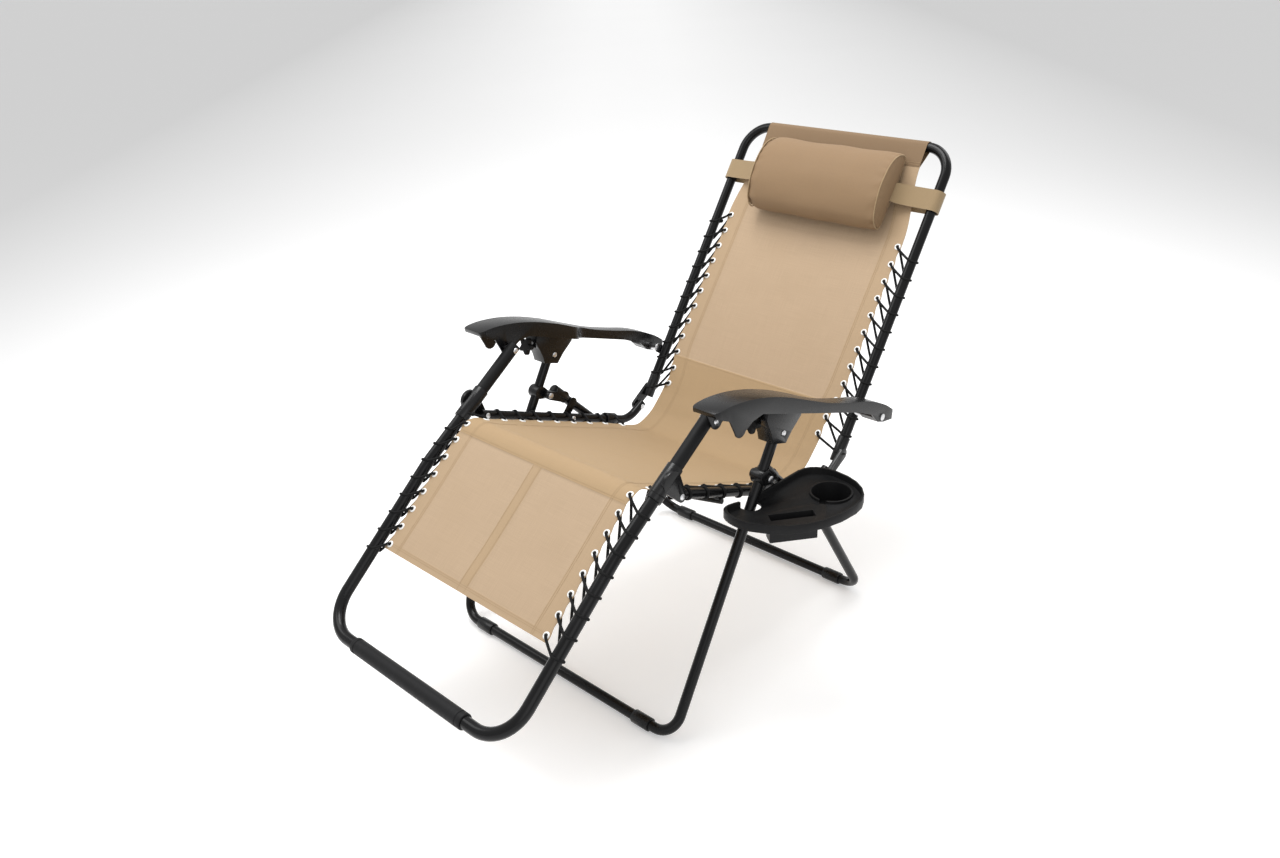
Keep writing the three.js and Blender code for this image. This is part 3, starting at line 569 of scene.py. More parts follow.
def swept(bm: bmesh.types.BMesh, path: Sequence[Vector], radius: float, sides: int) -> None:
    """Adds a round bar along a path, closed at both ends, with a UV map of its length.

    Args:
        bm: where it is added.
        path: its centre line.
        radius: its radius.
        sides: its number of sides.
    """
    layer = bm.loops.layers.uv.get("cloth") or bm.loops.layers.uv.new("cloth")
    first = (path[1] - path[0]).normalized()
    turn = first.to_track_quat("Z", "Y").to_matrix().to_4x4()
    ring = bmesh.ops.create_circle(
        bm, cap_ends=False, segments=sides, radius=radius, matrix=Matrix.Translation(path[0]) @ turn
    )["verts"]
    edges = list({edge for vert in ring for edge in vert.link_edges})
    start_edges = edges
    direction = first
    run = 0.0
    for index in range(1, len(path)):
        made = bmesh.ops.extrude_edge_only(bm, edges=edges)["geom"]
        verts = [item for item in made if isinstance(item, bmesh.types.BMVert)]
        edges = [
            item for item in made
            if isinstance(item, bmesh.types.BMEdge) and all(v in verts for v in item.verts)
        ]
        ahead = path[min(index + 1, len(path) - 1)] - path[index]
        behind = path[index] - path[index - 1]
        facing = (behind.normalized() + ahead.normalized()).normalized() if ahead.length > 0 else direction
        swing = direction.rotation_difference(facing).to_matrix().to_4x4()
        move = Matrix.Translation(path[index]) @ swing @ Matrix.Translation(-path[index - 1])
        bmesh.ops.transform(bm, matrix=move, verts=verts)
        direction = facing
        faces = {face for edge in edges for face in edge.link_faces}
        for face in faces:
            for loop in face.loops:
                late = loop.vert in verts
                loop[layer].uv = (0.0, run + (behind.length if late else 0.0))
        run += behind.length
    bmesh.ops.edgenet_fill(bm, edges=start_edges)
    bmesh.ops.edgenet_fill(bm, edges=edges)


def bar(name: str, path: Sequence[Vector], radius: float, look: Look, sides: int = 28) -> bpy.types.Object:
    """A round bar along a path, as a finished object.

    Args:
        name: the piece's name.
        path: its centre line.
        radius: its radius, in metres.
        look: its finish.
        sides: its number of sides.

    Returns:
        The object.
    """
    bm = bmesh.new()
    swept(bm, path, radius, sides)
    return finished(bm, name, look, 50.0)


def turned(name: str, profile: Sequence[tuple[float, float]], matrix: Matrix, look: Look,
           sides: int = 40, closed: bool = False) -> bpy.types.Object:
    """A piece turned on a lathe.

    Args:
        name: the piece's name.
        profile: (radius, height) pairs in metres.
        matrix: where its Z axis goes.
        look: its finish.
        sides: steps round it.
        closed: whether the profile's end joins its start.

    Returns:
        The object.
    """
    bm = bmesh.new()
    verts = [bm.verts.new((radius, 0.0, height)) for radius, height in profile]
    edges = [bm.edges.new(pair) for pair in zip(verts, verts[1:])]
    if closed:
        edges.append(bm.edges.new((verts[-1], verts[0])))
    bmesh.ops.spin(
        bm, geom=verts + edges, axis=(0, 0, 1), cent=(0, 0, 0), angle=2 * math.pi, steps=sides, use_merge=True
    )
    bmesh.ops.transform(bm, matrix=matrix, verts=bm.verts)
    return finished(bm, name, look, 32.0)


def across(x: float, point: Sequence[float], side: float = 1.0) -> Matrix:
    """A frame whose Z axis points outwards along the chair's width, at a working point.

    Args:
        x: the lateral place, in millimetres.
        point: the side-view point.
        side: 1 for the left, -1 for the right.

    Returns:
        The frame's matrix.
    """
    turn = Matrix.Rotation(math.pi / 2.0, 4, "Y") if side > 0 else Matrix.Rotation(-math.pi / 2.0, 4, "Y")
    return Matrix.Translation(LAYOUT.at(x, point)) @ turn


def softened(node: str, width: float, look: Look, segments: int = 2, crease: float = 32.0) -> bpy.types.Object:
    """A copy of a CAD piece with rounded edges, which stands for it.

    Args:
        node: the CAD piece.
        width: the rounding, in metres.
        look: its finish.
        segments: steps across the rounding.
        crease: only edges sharper than this are rounded.

    Returns:
        The object.
    """
    bm = bmesh.new()
    bm.from_mesh(frame["nodes"][node].data)
    bmesh.ops.remove_doubles(bm, verts=bm.verts, dist=2e-6)
    bmesh.ops.dissolve_degenerate(bm, edges=bm.edges, dist=2e-5)
    bmesh.ops.dissolve_limit(
        bm, angle_limit=math.radians(1.5), use_dissolve_boundaries=False, verts=bm.verts, edges=bm.edges
    )
    sharp = [e for e in bm.edges if len(e.link_faces) == 2 and e.calc_face_angle(0.0) > math.radians(crease)]
    bmesh.ops.bevel(
        bm, geom=sharp, offset=width, offset_type="OFFSET", affect="EDGES", segments=segments,
        profile=0.5, material=-1, clamp_overlap=True,
    )
    piece = finished(bm, f"{node}_finished", look, 40.0)
    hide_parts(node)
    return piece


# ---------------------------------------------------------------- frames


@dataclass
class TubeFrames:
    """The bent steel tubes, their sleeves and their brackets."""

    base_radius: float = 0.0105
    leg_radius: float = 0.0125
    upper_leg_radius: float = 0.0135
    back_radius: float = 0.011
    rail_radius: float = 0.010
    corner: float = 0.048
    leg_corner: float = 0.078
    back_corner: float = 0.062
    pieces: int = 0

    def _bar(self, node: str, body: str, corners: Sequence[Vector], radii: Sequence[float], radius: float) -> None:
        """One smooth tube in place of its CAD node.

        Args:
            node: the CAD tube.
            body: the body it rides on.
            corners: the centre line's corners.
            radii: one bend radius for each inner corner.
            radius: the tube's radius.
        """
        made = bar(f"{node}_tube", bent_path(corners, radii, 14), radius, Look.PAINT)
        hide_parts(node)
        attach(made, body)
        self.pieces += 1

    def build(self) -> None:
        """Builds every tube, sleeve and bracket."""
        lay = LAYOUT
        slope = (lay.slider - lay.front_bar).normalized()
        front_top = stepped(lay.slider, slope, 9.0)
        self._bar(
            "front_base_frame", "base",
            [lay.at(lay.front_x, front_top), lay.at(lay.front_x, lay.front_bar),
             lay.at(-lay.front_x, lay.front_bar), lay.at(-lay.front_x, front_top)],
            [self.corner, self.corner], self.base_radius,
        )
        self._bar(
            "rear_base_frame", "base",
            [lay.at(lay.rear_x, lay.rear_top), lay.at(lay.rear_x, lay.rear_bend),
             lay.at(lay.rear_x, lay.rear_bar), lay.at(-lay.rear_x, lay.rear_bar),
             lay.at(-lay.rear_x, lay.rear_bend), lay.at(-lay.rear_x, lay.rear_top)],
            [0.12, self.corner, self.corner, 0.12], self.base_radius,
        )
        up = (lay.arm_front - lay.leg_bend).normalized()
        leg_top = stepped(lay.arm_front, up, -150.3)
        self._bar(
            "leg_frame", "leg",
            [lay.at(lay.leg_x, leg_top), lay.at(lay.leg_x, lay.leg_bend), lay.at(lay.leg_x, lay.leg_toe),
             lay.at(-lay.leg_x, lay.leg_toe), lay.at(-lay.leg_x, lay.leg_bend), lay.at(-lay.leg_x, leg_top)],
            [0.3, self.leg_corner, self.leg_corner, 0.3], self.leg_radius,
        )
        self._bar(
            "back_frame", "back",
            [lay.at(lay.back_x, lay.back_foot), lay.at(lay.back_x, lay.back_top),
             lay.at(-lay.back_x, lay.back_top), lay.at(-lay.back_x, lay.back_foot)],
            [self.back_corner, self.back_corner], self.back_radius,
        )
        rail = (lay.rail_low - lay.knee).normalized()
        for name, side in SIDES.items():
            self._bar(
                f"seat_rail_{name}", "seat",
                [lay.at(side * lay.rail_x, stepped(lay.knee, rail, -11.0)),
                 lay.at(side * lay.rail_x, lay.rail_low),
                 lay.at(side * lay.rail_x, lay.back + Vector((9.0, 5.0)))],
                [0.06], self.rail_radius,
            )
            upper = bar(
                f"upper_leg_tube_{name}_bar",
                [lay.at(side * lay.leg_x, stepped(lay.arm_front, up, -150.0)),
                 lay.at(side * lay.leg_x, stepped(lay.arm_front, up, 11.0))],
                self.upper_leg_radius, Look.MATTE_PLASTIC,
            )
            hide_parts(f"upper_leg_tube_{name}")
            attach(upper, "leg")
        direction = (lay.rail_low - lay.knee).normalized()
        end = stepped(lay.knee, direction, 140.0, -16.3)
        middle = stepped(lay.knee, direction, 140.0, -40.0)
        cross = bar(
            "seat_crossbar_bar",
            bent_path([lay.at(277.0, end), lay.at(150.0, middle), lay.at(-150.0, middle), lay.at(-277.0, end)],
                      [0.16, 0.16], 12),
            0.006, Look.PAINT, 20,
        )
        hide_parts("seat_crossbar")
        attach(cross, "seat")
        self._sleeves()
        self._brackets()
        LOG.info("frames: %d tubes", self.pieces)

    def _sleeves(self) -> None:
        """The foot sleeves and the foot bar's grip."""
        lay = LAYOUT
        for name, side in SIDES.items():
            for node, body, point, x in (
                ("front_foot", "base", lay.front_bar, 240.0),
                ("rear_foot", "base", lay.rear_bar, 228.0),
            ):
                profile = self._sleeve(0.0108, 0.0137, 0.044, 0.0016)
                made = turned(f"{node}_{name}_sleeve", profile, across(side * x - 22.0, point), Look.SATIN_PLASTIC,
                              36, True)
                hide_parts(f"{node}_{name}")
                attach(made, body)
        profile = self._sleeve(0.0128, 0.016, 0.338, 0.0022, True)
        grip = turned("footrest_grip_sleeve", profile, across(-169.0, lay.leg_toe), Look.GRIP, 40, True)
        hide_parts("footrest_grip")
        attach(grip, "leg")

    @staticmethod
    def _sleeve(
        inner: float, outer: float, length: float, edge: float, beaded: bool = False
    ) -> list[tuple[float, float]]:
        """The section of a sleeve, with rounded rims and, if wanted, a bead near each end.

        Args:
            inner: the bore's radius, in metres.
            outer: the outside radius.
            length: the sleeve's length.
            edge: the rims' rounding.
            beaded: whether it has a groove near each end.

        Returns:
            The section as (radius, height) pairs.
        """
        half = [(inner, 0.0), (outer - edge, 0.0), (outer - 0.3 * edge, 0.3 * edge), (outer, edge)]
        if beaded:
            half += [(outer, 0.010), (outer - 0.0011, 0.0108), (outer - 0.0011, 0.0135), (outer, 0.0143)]
        return half + [(radius, length - height) for radius, height in reversed(half)]

    def _brackets(self) -> None:
        """The moulded and pressed brackets, and the rivets through them."""
        lay = LAYOUT
        for name in SIDES:
            for node, body, width, look in (
                ("pivot_clamp", "base", 0.0014, Look.SATIN_PLASTIC),
                ("rear_base_bracket", "base", 0.0012, Look.SATIN_PLASTIC),
                ("seat_pivot_bracket", "base", 0.0006, Look.PAINT),
                ("knee_bracket", "leg", 0.0012, Look.SATIN_PLASTIC),
                ("back_bracket", "back", 0.0012, Look.SATIN_PLASTIC),
                ("rail_clip", "seat", 0.0016, Look.SATIN_PLASTIC),
                ("slider", "sliders", 0.0012, Look.SATIN_PLASTIC),
                ("star_knob", f"knob_{name}", 0.001, Look.MATTE_PLASTIC),
                ("arm_rear_spigot", "back", 0.0005, Look.RIVET),
            ):
                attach(softened(f"{node}_{name}", width, look), body)
        for name, side in SIDES.items():
            for node, body in (
                ("base_rivet", "base"), ("seat_pivot_pin", "base"), ("knee_rivet", "seat"),
                ("back_rivet", "seat"), ("arm_front_rivet", "leg"), ("slider_pin", "base"),
            ):
                self._rivet(f"{node}_{name}", body, side)

    @staticmethod
    def _rivet(node: str, body: str, side: float) -> None:
        """A rivet with a domed head at each end, in place of its CAD node.

        Args:
            node: the CAD rivet.
            body: the body it rides on.
            side: 1 for the left, -1 for the right.
        """
        low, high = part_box(node)
        length = high[0] - low[0]
        head = (high[1] - low[1]) / 2.0
        rise = 0.0025
        dome = [(head * math.sin(a), rise * (1.0 - math.cos(a)))
                for a in (k * math.pi / 2 / 7 for k in range(8))]
        half = [(r, z) for r, z in dome] + [(0.004, rise + 0.00001)]
        profile = half + [(r, length - z) for r, z in reversed(half)]
        centre = Vector(((low[0]), (low[1] + high[1]) / 2.0, (low[2] + high[2]) / 2.0))
        matrix = Matrix.Translation(centre) @ Matrix.Rotation(math.pi / 2.0, 4, "Y")
        made = turned(f"{node}_domed", profile, matrix, Look.RIVET, 28)
        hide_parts(node)
        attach(made, body)


# ---------------------------------------------------------------- cloth


@dataclass
class ClothGrid:
    """A sheet of cloth under construction: rows of places on its front face, each with its cut position."""

    name: str
    look: Look
    thickness: float = 0.0011
    rows: list[list[Vector]] = field(default_factory=list)
    cuts: list[list[tuple[float, float]]] = field(default_factory=list)
    layers: list[list[float]] = field(default_factory=list)

    def add(self, places: list[Vector], cuts: list[tuple[float, float]], layers: list[float]) -> None:
        """Adds one row across the cloth.

        Args:
            places: the row's places on the front face.
            cuts: the same places in the flat cloth, in metres.
            layers: how double the cloth is at each.
        """
        self.rows.append(places)
        self.cuts.append(cuts)
        self.layers.append(layers)

    def _out(self, i: int, j: int) -> Vector:
        """The front face's normal at a place.

        Args:
            i: the row.
            j: the column.

        Returns:
            The unit normal, out of the front face.
        """
        rows, count = self.rows, len(self.rows[0])
        side = rows[i][min(j + 1, count - 1)] - rows[i][max(j - 1, 0)]
        run = rows[min(i + 1, len(rows) - 1)][j] - rows[max(i - 1, 0)][j]
        return side.cross(run).normalized()

    def area(self) -> float:
        """The front face's area, in square metres."""
        total = 0.0
        for low, high in zip(self.rows, self.rows[1:]):
            for j in range(len(low) - 1):
                total += (low[j + 1] - low[j]).cross(high[j] - low[j]).length / 2.0
                total += (high[j + 1] - high[j]).cross(high[j + 1] - low[j + 1]).length / 2.0
        return total

    def build(self, smooth: float = 60.0) -> bpy.types.Object:
        """Makes the cloth as a thin closed solid.

        Args:
            smooth: edges sharper than this many degrees stay sharp.

        Returns:
            The finished object.
        """
        bm = bmesh.new()
        uv = bm.loops.layers.uv.new("cloth")
        layered = bm.verts.layers.float.new("layers")
        cut_of: dict[Any, tuple[float, float]] = {}
        faces = []
        for deep in (0.0, self.thickness):
            grid = []
            for i, row in enumerate(self.rows):
                line = []
                for j, place in enumerate(row):
                    vert = bm.verts.new(place - self._out(i, j) * deep)
                    vert[layered] = self.layers[i][j]
                    cut_of[vert] = self.cuts[i][j]
                    line.append(vert)
                grid.append(line)
            faces.append(grid)
        front, rear = faces
        for i in range(len(front) - 1):
            for j in range(len(front[0]) - 1):
                bm.faces.new((front[i][j], front[i][j + 1], front[i + 1][j + 1], front[i + 1][j]))
                bm.faces.new((rear[i][j], rear[i + 1][j], rear[i + 1][j + 1], rear[i][j + 1]))
        last = len(front[0]) - 1
        for i in range(len(front) - 1):
            bm.faces.new((front[i][0], front[i + 1][0], rear[i + 1][0], rear[i][0]))
            bm.faces.new((front[i][last], rear[i][last], rear[i + 1][last], front[i + 1][last]))
        end = len(front) - 1
        for j in range(last):
            bm.faces.new((front[0][j], rear[0][j], rear[0][j + 1], front[0][j + 1]))
            bm.faces.new((front[end][j], front[end][j + 1], rear[end][j + 1], rear[end][j]))
        for face in bm.faces:
            for loop in face.loops:
                loop[uv].uv = cut_of[loop.vert]
        return finished(bm, self.name, self.look, smooth)


@dataclass
class Sling:
    """The laced sling: its side-view line, its widths, hems and stitching, and its three stretches."""

    half_width: float = 242.0
    hem: float = 45.0
    eyelet_x: float = 232.75
    line: list[Vector] = field(default_factory=list)
    runs: list[float] = field(default_factory=list)
    leg_eyelets: list[float] = field(default_factory=list)
    seat_eyelets: list[float] = field(default_factory=list)
    back_eyelets: list[float] = field(default_factory=list)
    sleeve_height: float = 50.0

    def __post_init__(self) -> None:
        """Lays out the side-view line and the eyelets' places on it."""
        leg = [(-223.0, 326.5), (-150.0, 387.8), (-75.0, 450.8), (-20.0, 497.6), (6.7, 516.8), (30.0, 519.5),
               (56.0, 507.5)]
        seat = [(y, 497.0 - 0.402 * (y - 82.0)) for y in (82.0, 120.0, 180.0, 250.0, 330.0, 390.0, 440.0)]
        low = [(470.0, 341.0), (500.0, 335.5), (540.0, 351.0), (570.0, 377.0)]
        back = [(856.7 - 23.56 * i, 760.6 - 32.1 * i) for i in (11, 9, 7, 5, 3, 1)]
        top = [(900.0, 824.0), (956.5, 911.5), (983.4, 955.2)]
        corners = [Vector(p) for p in (*leg, *seat, *low, *back, *top)]
        self.line = flowing(corners, 24)
        self.runs = [0.0]
        for a, b in zip(self.line, self.line[1:]):
            self.runs.append(self.runs[-1] + (b - a).length)
        self.leg_eyelets = [self.run_of(-214.0 + 31.5 * i) for i in range(8)] + [self.run_of(55.0)]
        self.seat_eyelets = [self.run_of(102.0 + 48.5 * i) for i in range(8)]
        self.back_eyelets = [self.run_of(856.7 - 23.56 * i) for i in reversed(range(12))]
        LOG.info("sling: %.0f mm from foot hem to top bar", self.length)

    @property
    def length(self) -> float:
        """The sling's length from foot hem to top bar."""
        return self.runs[-1]

    def run_of(self, y: float) -> float:
        """The distance along the line at a working y.

        Args:
            y: a working y, in millimetres.

        Returns:
            The distance from the foot hem; the whole length past its end.
        """
        for index in range(len(self.line) - 1):
            a, b = self.line[index], self.line[index + 1]
            if a.x <= y <= b.x and b.x > a.x:
                return self.runs[index] + (self.runs[index + 1] - self.runs[index]) * (y - a.x) / (b.x - a.x)
        return self.length

    def at(self, run: float) -> tuple[Vector, Vector]:
        """The line's point and unit direction at a distance along it.

        Args:
            run: the distance from the foot hem.

        Returns:
            The point and the direction, in the side view.
        """
        run = min(max(run, 0.0), self.length)
        low, high = 0, len(self.runs) - 1
        while high - low > 1:
            middle = (low + high) // 2
            if self.runs[middle] <= run:
                low = middle
            else:
                high = middle
        span = self.runs[high] - self.runs[low]
        point = self.line[low].lerp(self.line[high], (run - self.runs[low]) / span if span else 0.0)
        near, far = self.line[max(low - 3, 0)], self.line[min(high + 3, len(self.line) - 1)]
        return point, (far - near).normalized()

    @staticmethod
    def _eased(value: float, low: float, high: float) -> float:
        """0 before low, 1 after high, smooth between.

        Args:
            value: where.
            low: where it starts.
            high: where it ends.

        Returns:
            The share.
        """
        t = min(max((value - low) / (high - low), 0.0), 1.0)
        return t * t * (3.0 - 2.0 * t)

    def width_at(self, run: float) -> float:
        """Half the cloth's width at the eyelets."""
        turn = self.run_of(470.0)
        lift = self.run_of(600.0)
        width = self.half_width
        width -= 14.0 * self._eased(run, turn - 90.0, turn + 10.0) * (1.0 - self._eased(run, lift, lift + 110.0))
        width -= 26.0 * self._eased(run, self.back_eyelets[-1] + 8.0, self.length - self.sleeve_height)
        return width

    def scallop(self, run: float) -> float:
        """How far the free edge is drawn in between two eyelets.

        Args:
            run: the distance from the foot hem.

        Returns:
            The draw, in millimetres.
        """
        holes = self.leg_eyelets + self.seat_eyelets + self.back_eyelets
        for a, b in zip(holes, holes[1:]):
            if a < run < b and b - a < 75.0:
                return 3.4 * math.sin(math.pi * (run - a) / (b - a)) ** 2
        return 0.0

    def hole_x(self, run: float) -> float:
        """The eyelets' distance from the middle."""
        return self.width_at(run) - (self.half_width - self.eyelet_x)

    def sag(self, run: float) -> float:
        """How far the middle hangs below the edges.

        Args:
            run: the distance from the foot hem.

        Returns:
            The sag, in millimetres.
        """
        knee, low, top = self.run_of(60.0), self.run_of(500.0), self.length
        leg = 3.5 * self._eased(run, 20.0, 120.0)
        seat = 12.0 * math.sin(math.pi * min(max((run - knee + 40.0) / (low - knee + 120.0), 0.0), 1.0))
        back = 9.0 * self._eased(run, low - 60.0, low + 120.0) * (1.0 - self._eased(run, top - 190.0, top - 40.0))
        return max(leg * (1.0 - self._eased(run, knee - 60.0, knee)), seat) + back

    def place(self, run: float, x: float, lift: float = 0.0) -> Vector:
        """A place on the cloth's front face.

        Args:
            run: the distance from the foot hem.
            x: the distance from the middle.
            lift: how far in front of the cloth.

        Returns:
            The place in the row frame, in metres.
        """
        point, along = self.at(run)
        share = min(abs(x) / self.half_width, 1.0)
        ripple = 0.5 * noise.noise(Vector((x * 0.011, run * 0.016, 3.0))) * 1.6 * (1.0 - 0.6 * share)
        out = Vector((-along.y, along.x)) * (lift + ripple - self.sag(run) * (1.0 - share ** 2.2))
        return LAYOUT.at(x, point + out)

    def layers_at(self, run: float, x: float) -> float:
        """How many layers the cloth has: 0 single, 1 double.

        Args:
            run: the distance from the foot hem.
            x: the distance from the middle.

        Returns:
            The share of the double layer's look.
        """
        inner = 1.0 if self.double_from < run < self.double_to else 0.0
        if abs(x) > self.width_at(run) - self.hem or run < 17.0:
            inner = max(inner, 0.38) + (0.08 if inner else 0.0)
        if inner < 0.2 and abs(x) < 12.5 and run < self.double_from:
            inner = 0.6
        return inner

    @property
    def double_from(self) -> float:
        """Where the double layer starts, below the knee."""
        return self.run_of(-10.0)

    @property
    def double_to(self) -> float:
        """Where the double layer ends, low on the back."""
        return self.run_of(640.0)

    def _columns(self, run: float) -> list[float]:
        """The columns across the cloth, with close pairs at the hems and the middle strip.

        Args:
            run: the distance from the foot hem.

        Returns:
            Their distances from the middle, from right to left.
        """
        width = self.width_at(run)
        inner = width - self.hem - 0.5
        half = [0.0, 12.0, 13.0]
        half += [13.0 + (inner - 13.0) * k / 14.0 for k in range(1, 15)]
        drawn = self.scallop(run)
        half += [inner + 1.0, width - 34.0, width - 22.0]
        half += [width - inset - drawn * share for inset, share in ((10.0, 0.4), (3.0, 0.9), (0.6, 1.0), (0.0, 1.0))]
        return [-x for x in reversed(half[1:])] + half

    def stretch(self, name: str, start: float, end: float) -> tuple[ClothGrid, bpy.types.Object]:
        """One stretch of the sling, between two distances along it.

        Args:
            name: the piece's name.
            start: where it starts.
            end: where it ends.

        Returns:
            Its grid, and the finished object.
        """
        steps = {start, end}
        count = max(int((end - start) / 6.0), 2)
        steps |= {start + (end - start) * k / count for k in range(count + 1)}
        for edge in (17.0, self.double_from, self.double_to):
            steps |= {r for r in (edge - 0.5, edge + 0.5) if start < r < end}
        grid = ClothGrid(name, Look.SLING)
        for run in sorted(steps):
            columns = self._columns(run)
            lifts = [0.9 * self.layers_at(run, x) for x in columns]
            edge = self.width_at(run) - self.scallop(run)
            lifts = [lift - (0.7 if abs(x) > edge - 0.3 else 0.0) for lift, x in zip(lifts, columns)]
            grid.add(
                [self.place(run, x, lift) for x, lift in zip(columns, lifts)],
                [(x * 0.001, run * 0.001) for x in columns],
                [self.layers_at(run, x) for x in columns],
            )
        return grid, grid.build()

    def _stitch_lines(self, start: float, end: float) -> list[list[tuple[float, float]]]:
        """The sewing lines of a stretch, as (run, x) stations.

        Args:
            start: where the stretch starts.
            end: where it ends.

        Returns:
            One list of stations for each line.
        """
        lines = []
        for side in (-1.0, 1.0):
            for inset in (42.5, 38.0):
                lines.append([(start + k * 3.0, side * (self.width_at(start + k * 3.0) - inset))
                              for k in range(int((end - start) / 3.0))])
        crosses = (14.5, 10.5, self.double_from + 4.0, self.double_to - 4.0)
        for run in (run for run in crosses if start <= run <= end):
            reach = self.width_at(run) - 6.0
            lines.append([(run, -reach + 3.0 * k) for k in range(int(2.0 * reach / 3.0))])
        if start < self.double_from - 60.0:
            for x in (-10.0, 10.0):
                lines.append([(start + 2.0 + k * 3.0, x) for k in range(int((self.double_from - start) / 3.0))])
        return lines

    def stitches(self, name: str, start: float, end: float) -> bpy.types.Object:
        """The sewing of a stretch: short raised threads along its lines.

        Args:
            name: the piece's name.
            start: where the stretch starts.
            end: where it ends.

        Returns:
            The finished object.
        """
        bm = bmesh.new()
        bm.loops.layers.uv.new("cloth")
        for line in self._stitch_lines(start, end):
            for a, b in zip(line, line[1:]):
                first = self.place(*a, 0.9 * self.layers_at(*a))
                second = self.place(*b, 0.9 * self.layers_at(*b))
                along = second - first
                run, x = a
                out = (self.place(run, x, 5.0) - self.place(run, x)).normalized()
                turn = Matrix((along.normalized(), out.cross(along).normalized(), out)).transposed().to_4x4()
                middle = (first + second) / 2.0
                size = Matrix.Diagonal((along.length * 0.78, 0.0007, 0.0006, 1.0))
                bmesh.ops.create_cube(bm, size=1.0, matrix=Matrix.Translation(middle) @ turn @ size)
        return finished(bm, name, Look.THREAD, 80.0)

    def eyelets(self, name: str, runs: Sequence[float]) -> bpy.types.Object:
        """A row of eyelets along each edge: a rolled ring on the front and a washer behind.

        Args:
            name: the piece's name.
            runs: the eyelets' distances from the foot hem.

        Returns:
            The finished object.
        """
        bm = bmesh.new()
        profile = [(0.0036, -0.0016), (0.0036, 0.0006), (0.0042, 0.0014), (0.0053, 0.0017), (0.0066, 0.0012),
                   (0.0074, 0.0003), (0.0075, -0.0002), (0.0075, -0.0016), (0.0068, -0.0022), (0.0045, -0.0022)]
        for side in (-1.0, 1.0):
            for run in runs:
                x = side * self.hole_x(run)
                _, along = self.at(run)
                out = (self.place(run, x, 8.0) - self.place(run, x)).normalized()
                run_way = Vector((0.0, along.x, along.y))
                turn = Matrix((out.cross(run_way).normalized() * -1.0, run_way, out)).transposed().to_4x4()
                lift = 0.9 * self.layers_at(run, x) + 0.3
                matrix = Matrix.Translation(self.place(run, x, lift)) @ turn
                verts = [bm.verts.new((r, 0.0, h)) for r, h in profile]
                edges = [bm.edges.new(pair) for pair in zip(verts, verts[1:] + verts[:1])]
                made = bmesh.ops.spin(bm, geom=verts + edges, axis=(0, 0, 1), cent=(0, 0, 0),
                                      angle=2 * math.pi, steps=20, use_merge=True)
                tube = {v for v in verts if v.is_valid}
                reach = set(tube)
                while tube:
                    tube = {o for v in tube for e in v.link_edges for o in e.verts} - reach
                    reach |= tube
                bmesh.ops.transform(bm, matrix=matrix, verts=list(reach))
        return finished(bm, name, Look.EYELET, 50.0)

    def build(self) -> None:
        """Builds the three stretches, their sewing, eyelets, lacing and the top sleeve."""
        knee = self.run_of(118.0)
        low = self.run_of(436.0)
        top = self.length - self.sleeve_height + 4.0
        lay = LAYOUT
        across_knee = (lay.at(0.0, (40.0, 512.0)), lay.at(0.0, (110.0, 490.0)))
        across_low = (lay.at(0.0, (452.0, 350.0)), lay.at(0.0, (600.0, 408.0)))
        rail = (lay.rail_low - lay.knee).normalized()
        plans = (
            ("leg", 0.0, knee, "sling_leg", ("leg", "seat"), across_knee),
            ("seat", knee, low, "sling_seat", None, None),
            ("back", low, top, "sling_back", ("seat", "back"), across_low),
        )
        for name, start, end, node, bodies, ends in plans:
            grid, cloth = self.stretch(f"sling_{name}_cloth", start, end)
            sewing = self.stitches(f"sling_{name}_sewing", start + 1.0, end - 1.0)
            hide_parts(node)
            for piece in (cloth, sewing):
                if bodies:
                    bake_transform(piece)
                else:
                    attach(piece, "seat")
            wide, long = 2.0 * self.half_width * 0.001, (end - start) * 0.001
            min(grid.area(), wide * long)
        for body, runs in (("leg", self.leg_eyelets), ("seat", self.seat_eyelets), ("back", self.back_eyelets)):
            rings = self.eyelets(f"{body}_eyelets", runs)
            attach(rings, body)
            for side_name, side in SIDES.items():
                cord = self.lacing(body, side_name, side, runs)
                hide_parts(f"{body}_lacing_{side_name}")
                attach(cord, body)
        self.sleeve()

    def _tube_of(self, body: str) -> tuple[list[Vector], float, float]:
        """The side-view centre line, the lateral place and the radius of the tube that a row is laced to.

        Args:
            body: leg, seat or back.

        Returns:
            The line, the lateral place and the radius, in millimetres.
        """
        lay = LAYOUT
        if body == "leg":
            return [lay.leg_toe, lay.leg_bend, lay.arm_front], lay.leg_x, 12.5
        if body == "seat":
            return [lay.knee, lay.rail_low], lay.rail_x, 10.0
        return [lay.back_foot, lay.back_top], lay.back_x, 11.0

    @staticmethod
    def _foot_on(line: Sequence[Vector], point: Vector) -> tuple[Vector, Vector]:
        """The nearest point of a side-view line, and the line's direction there.

        Args:
            line: the line's corners.
            point: a side-view point.

        Returns:
            The nearest point and the direction.
        """
        best = None
        for a, b in zip(line, line[1:]):
            way = b - a
            t = min(max((point - a).dot(way) / way.length_squared, 0.0), 1.0)
            foot = a + way * t
            if best is None or (foot - point).length < (best[0] - point).length:
                best = (foot, way.normalized())
        return best

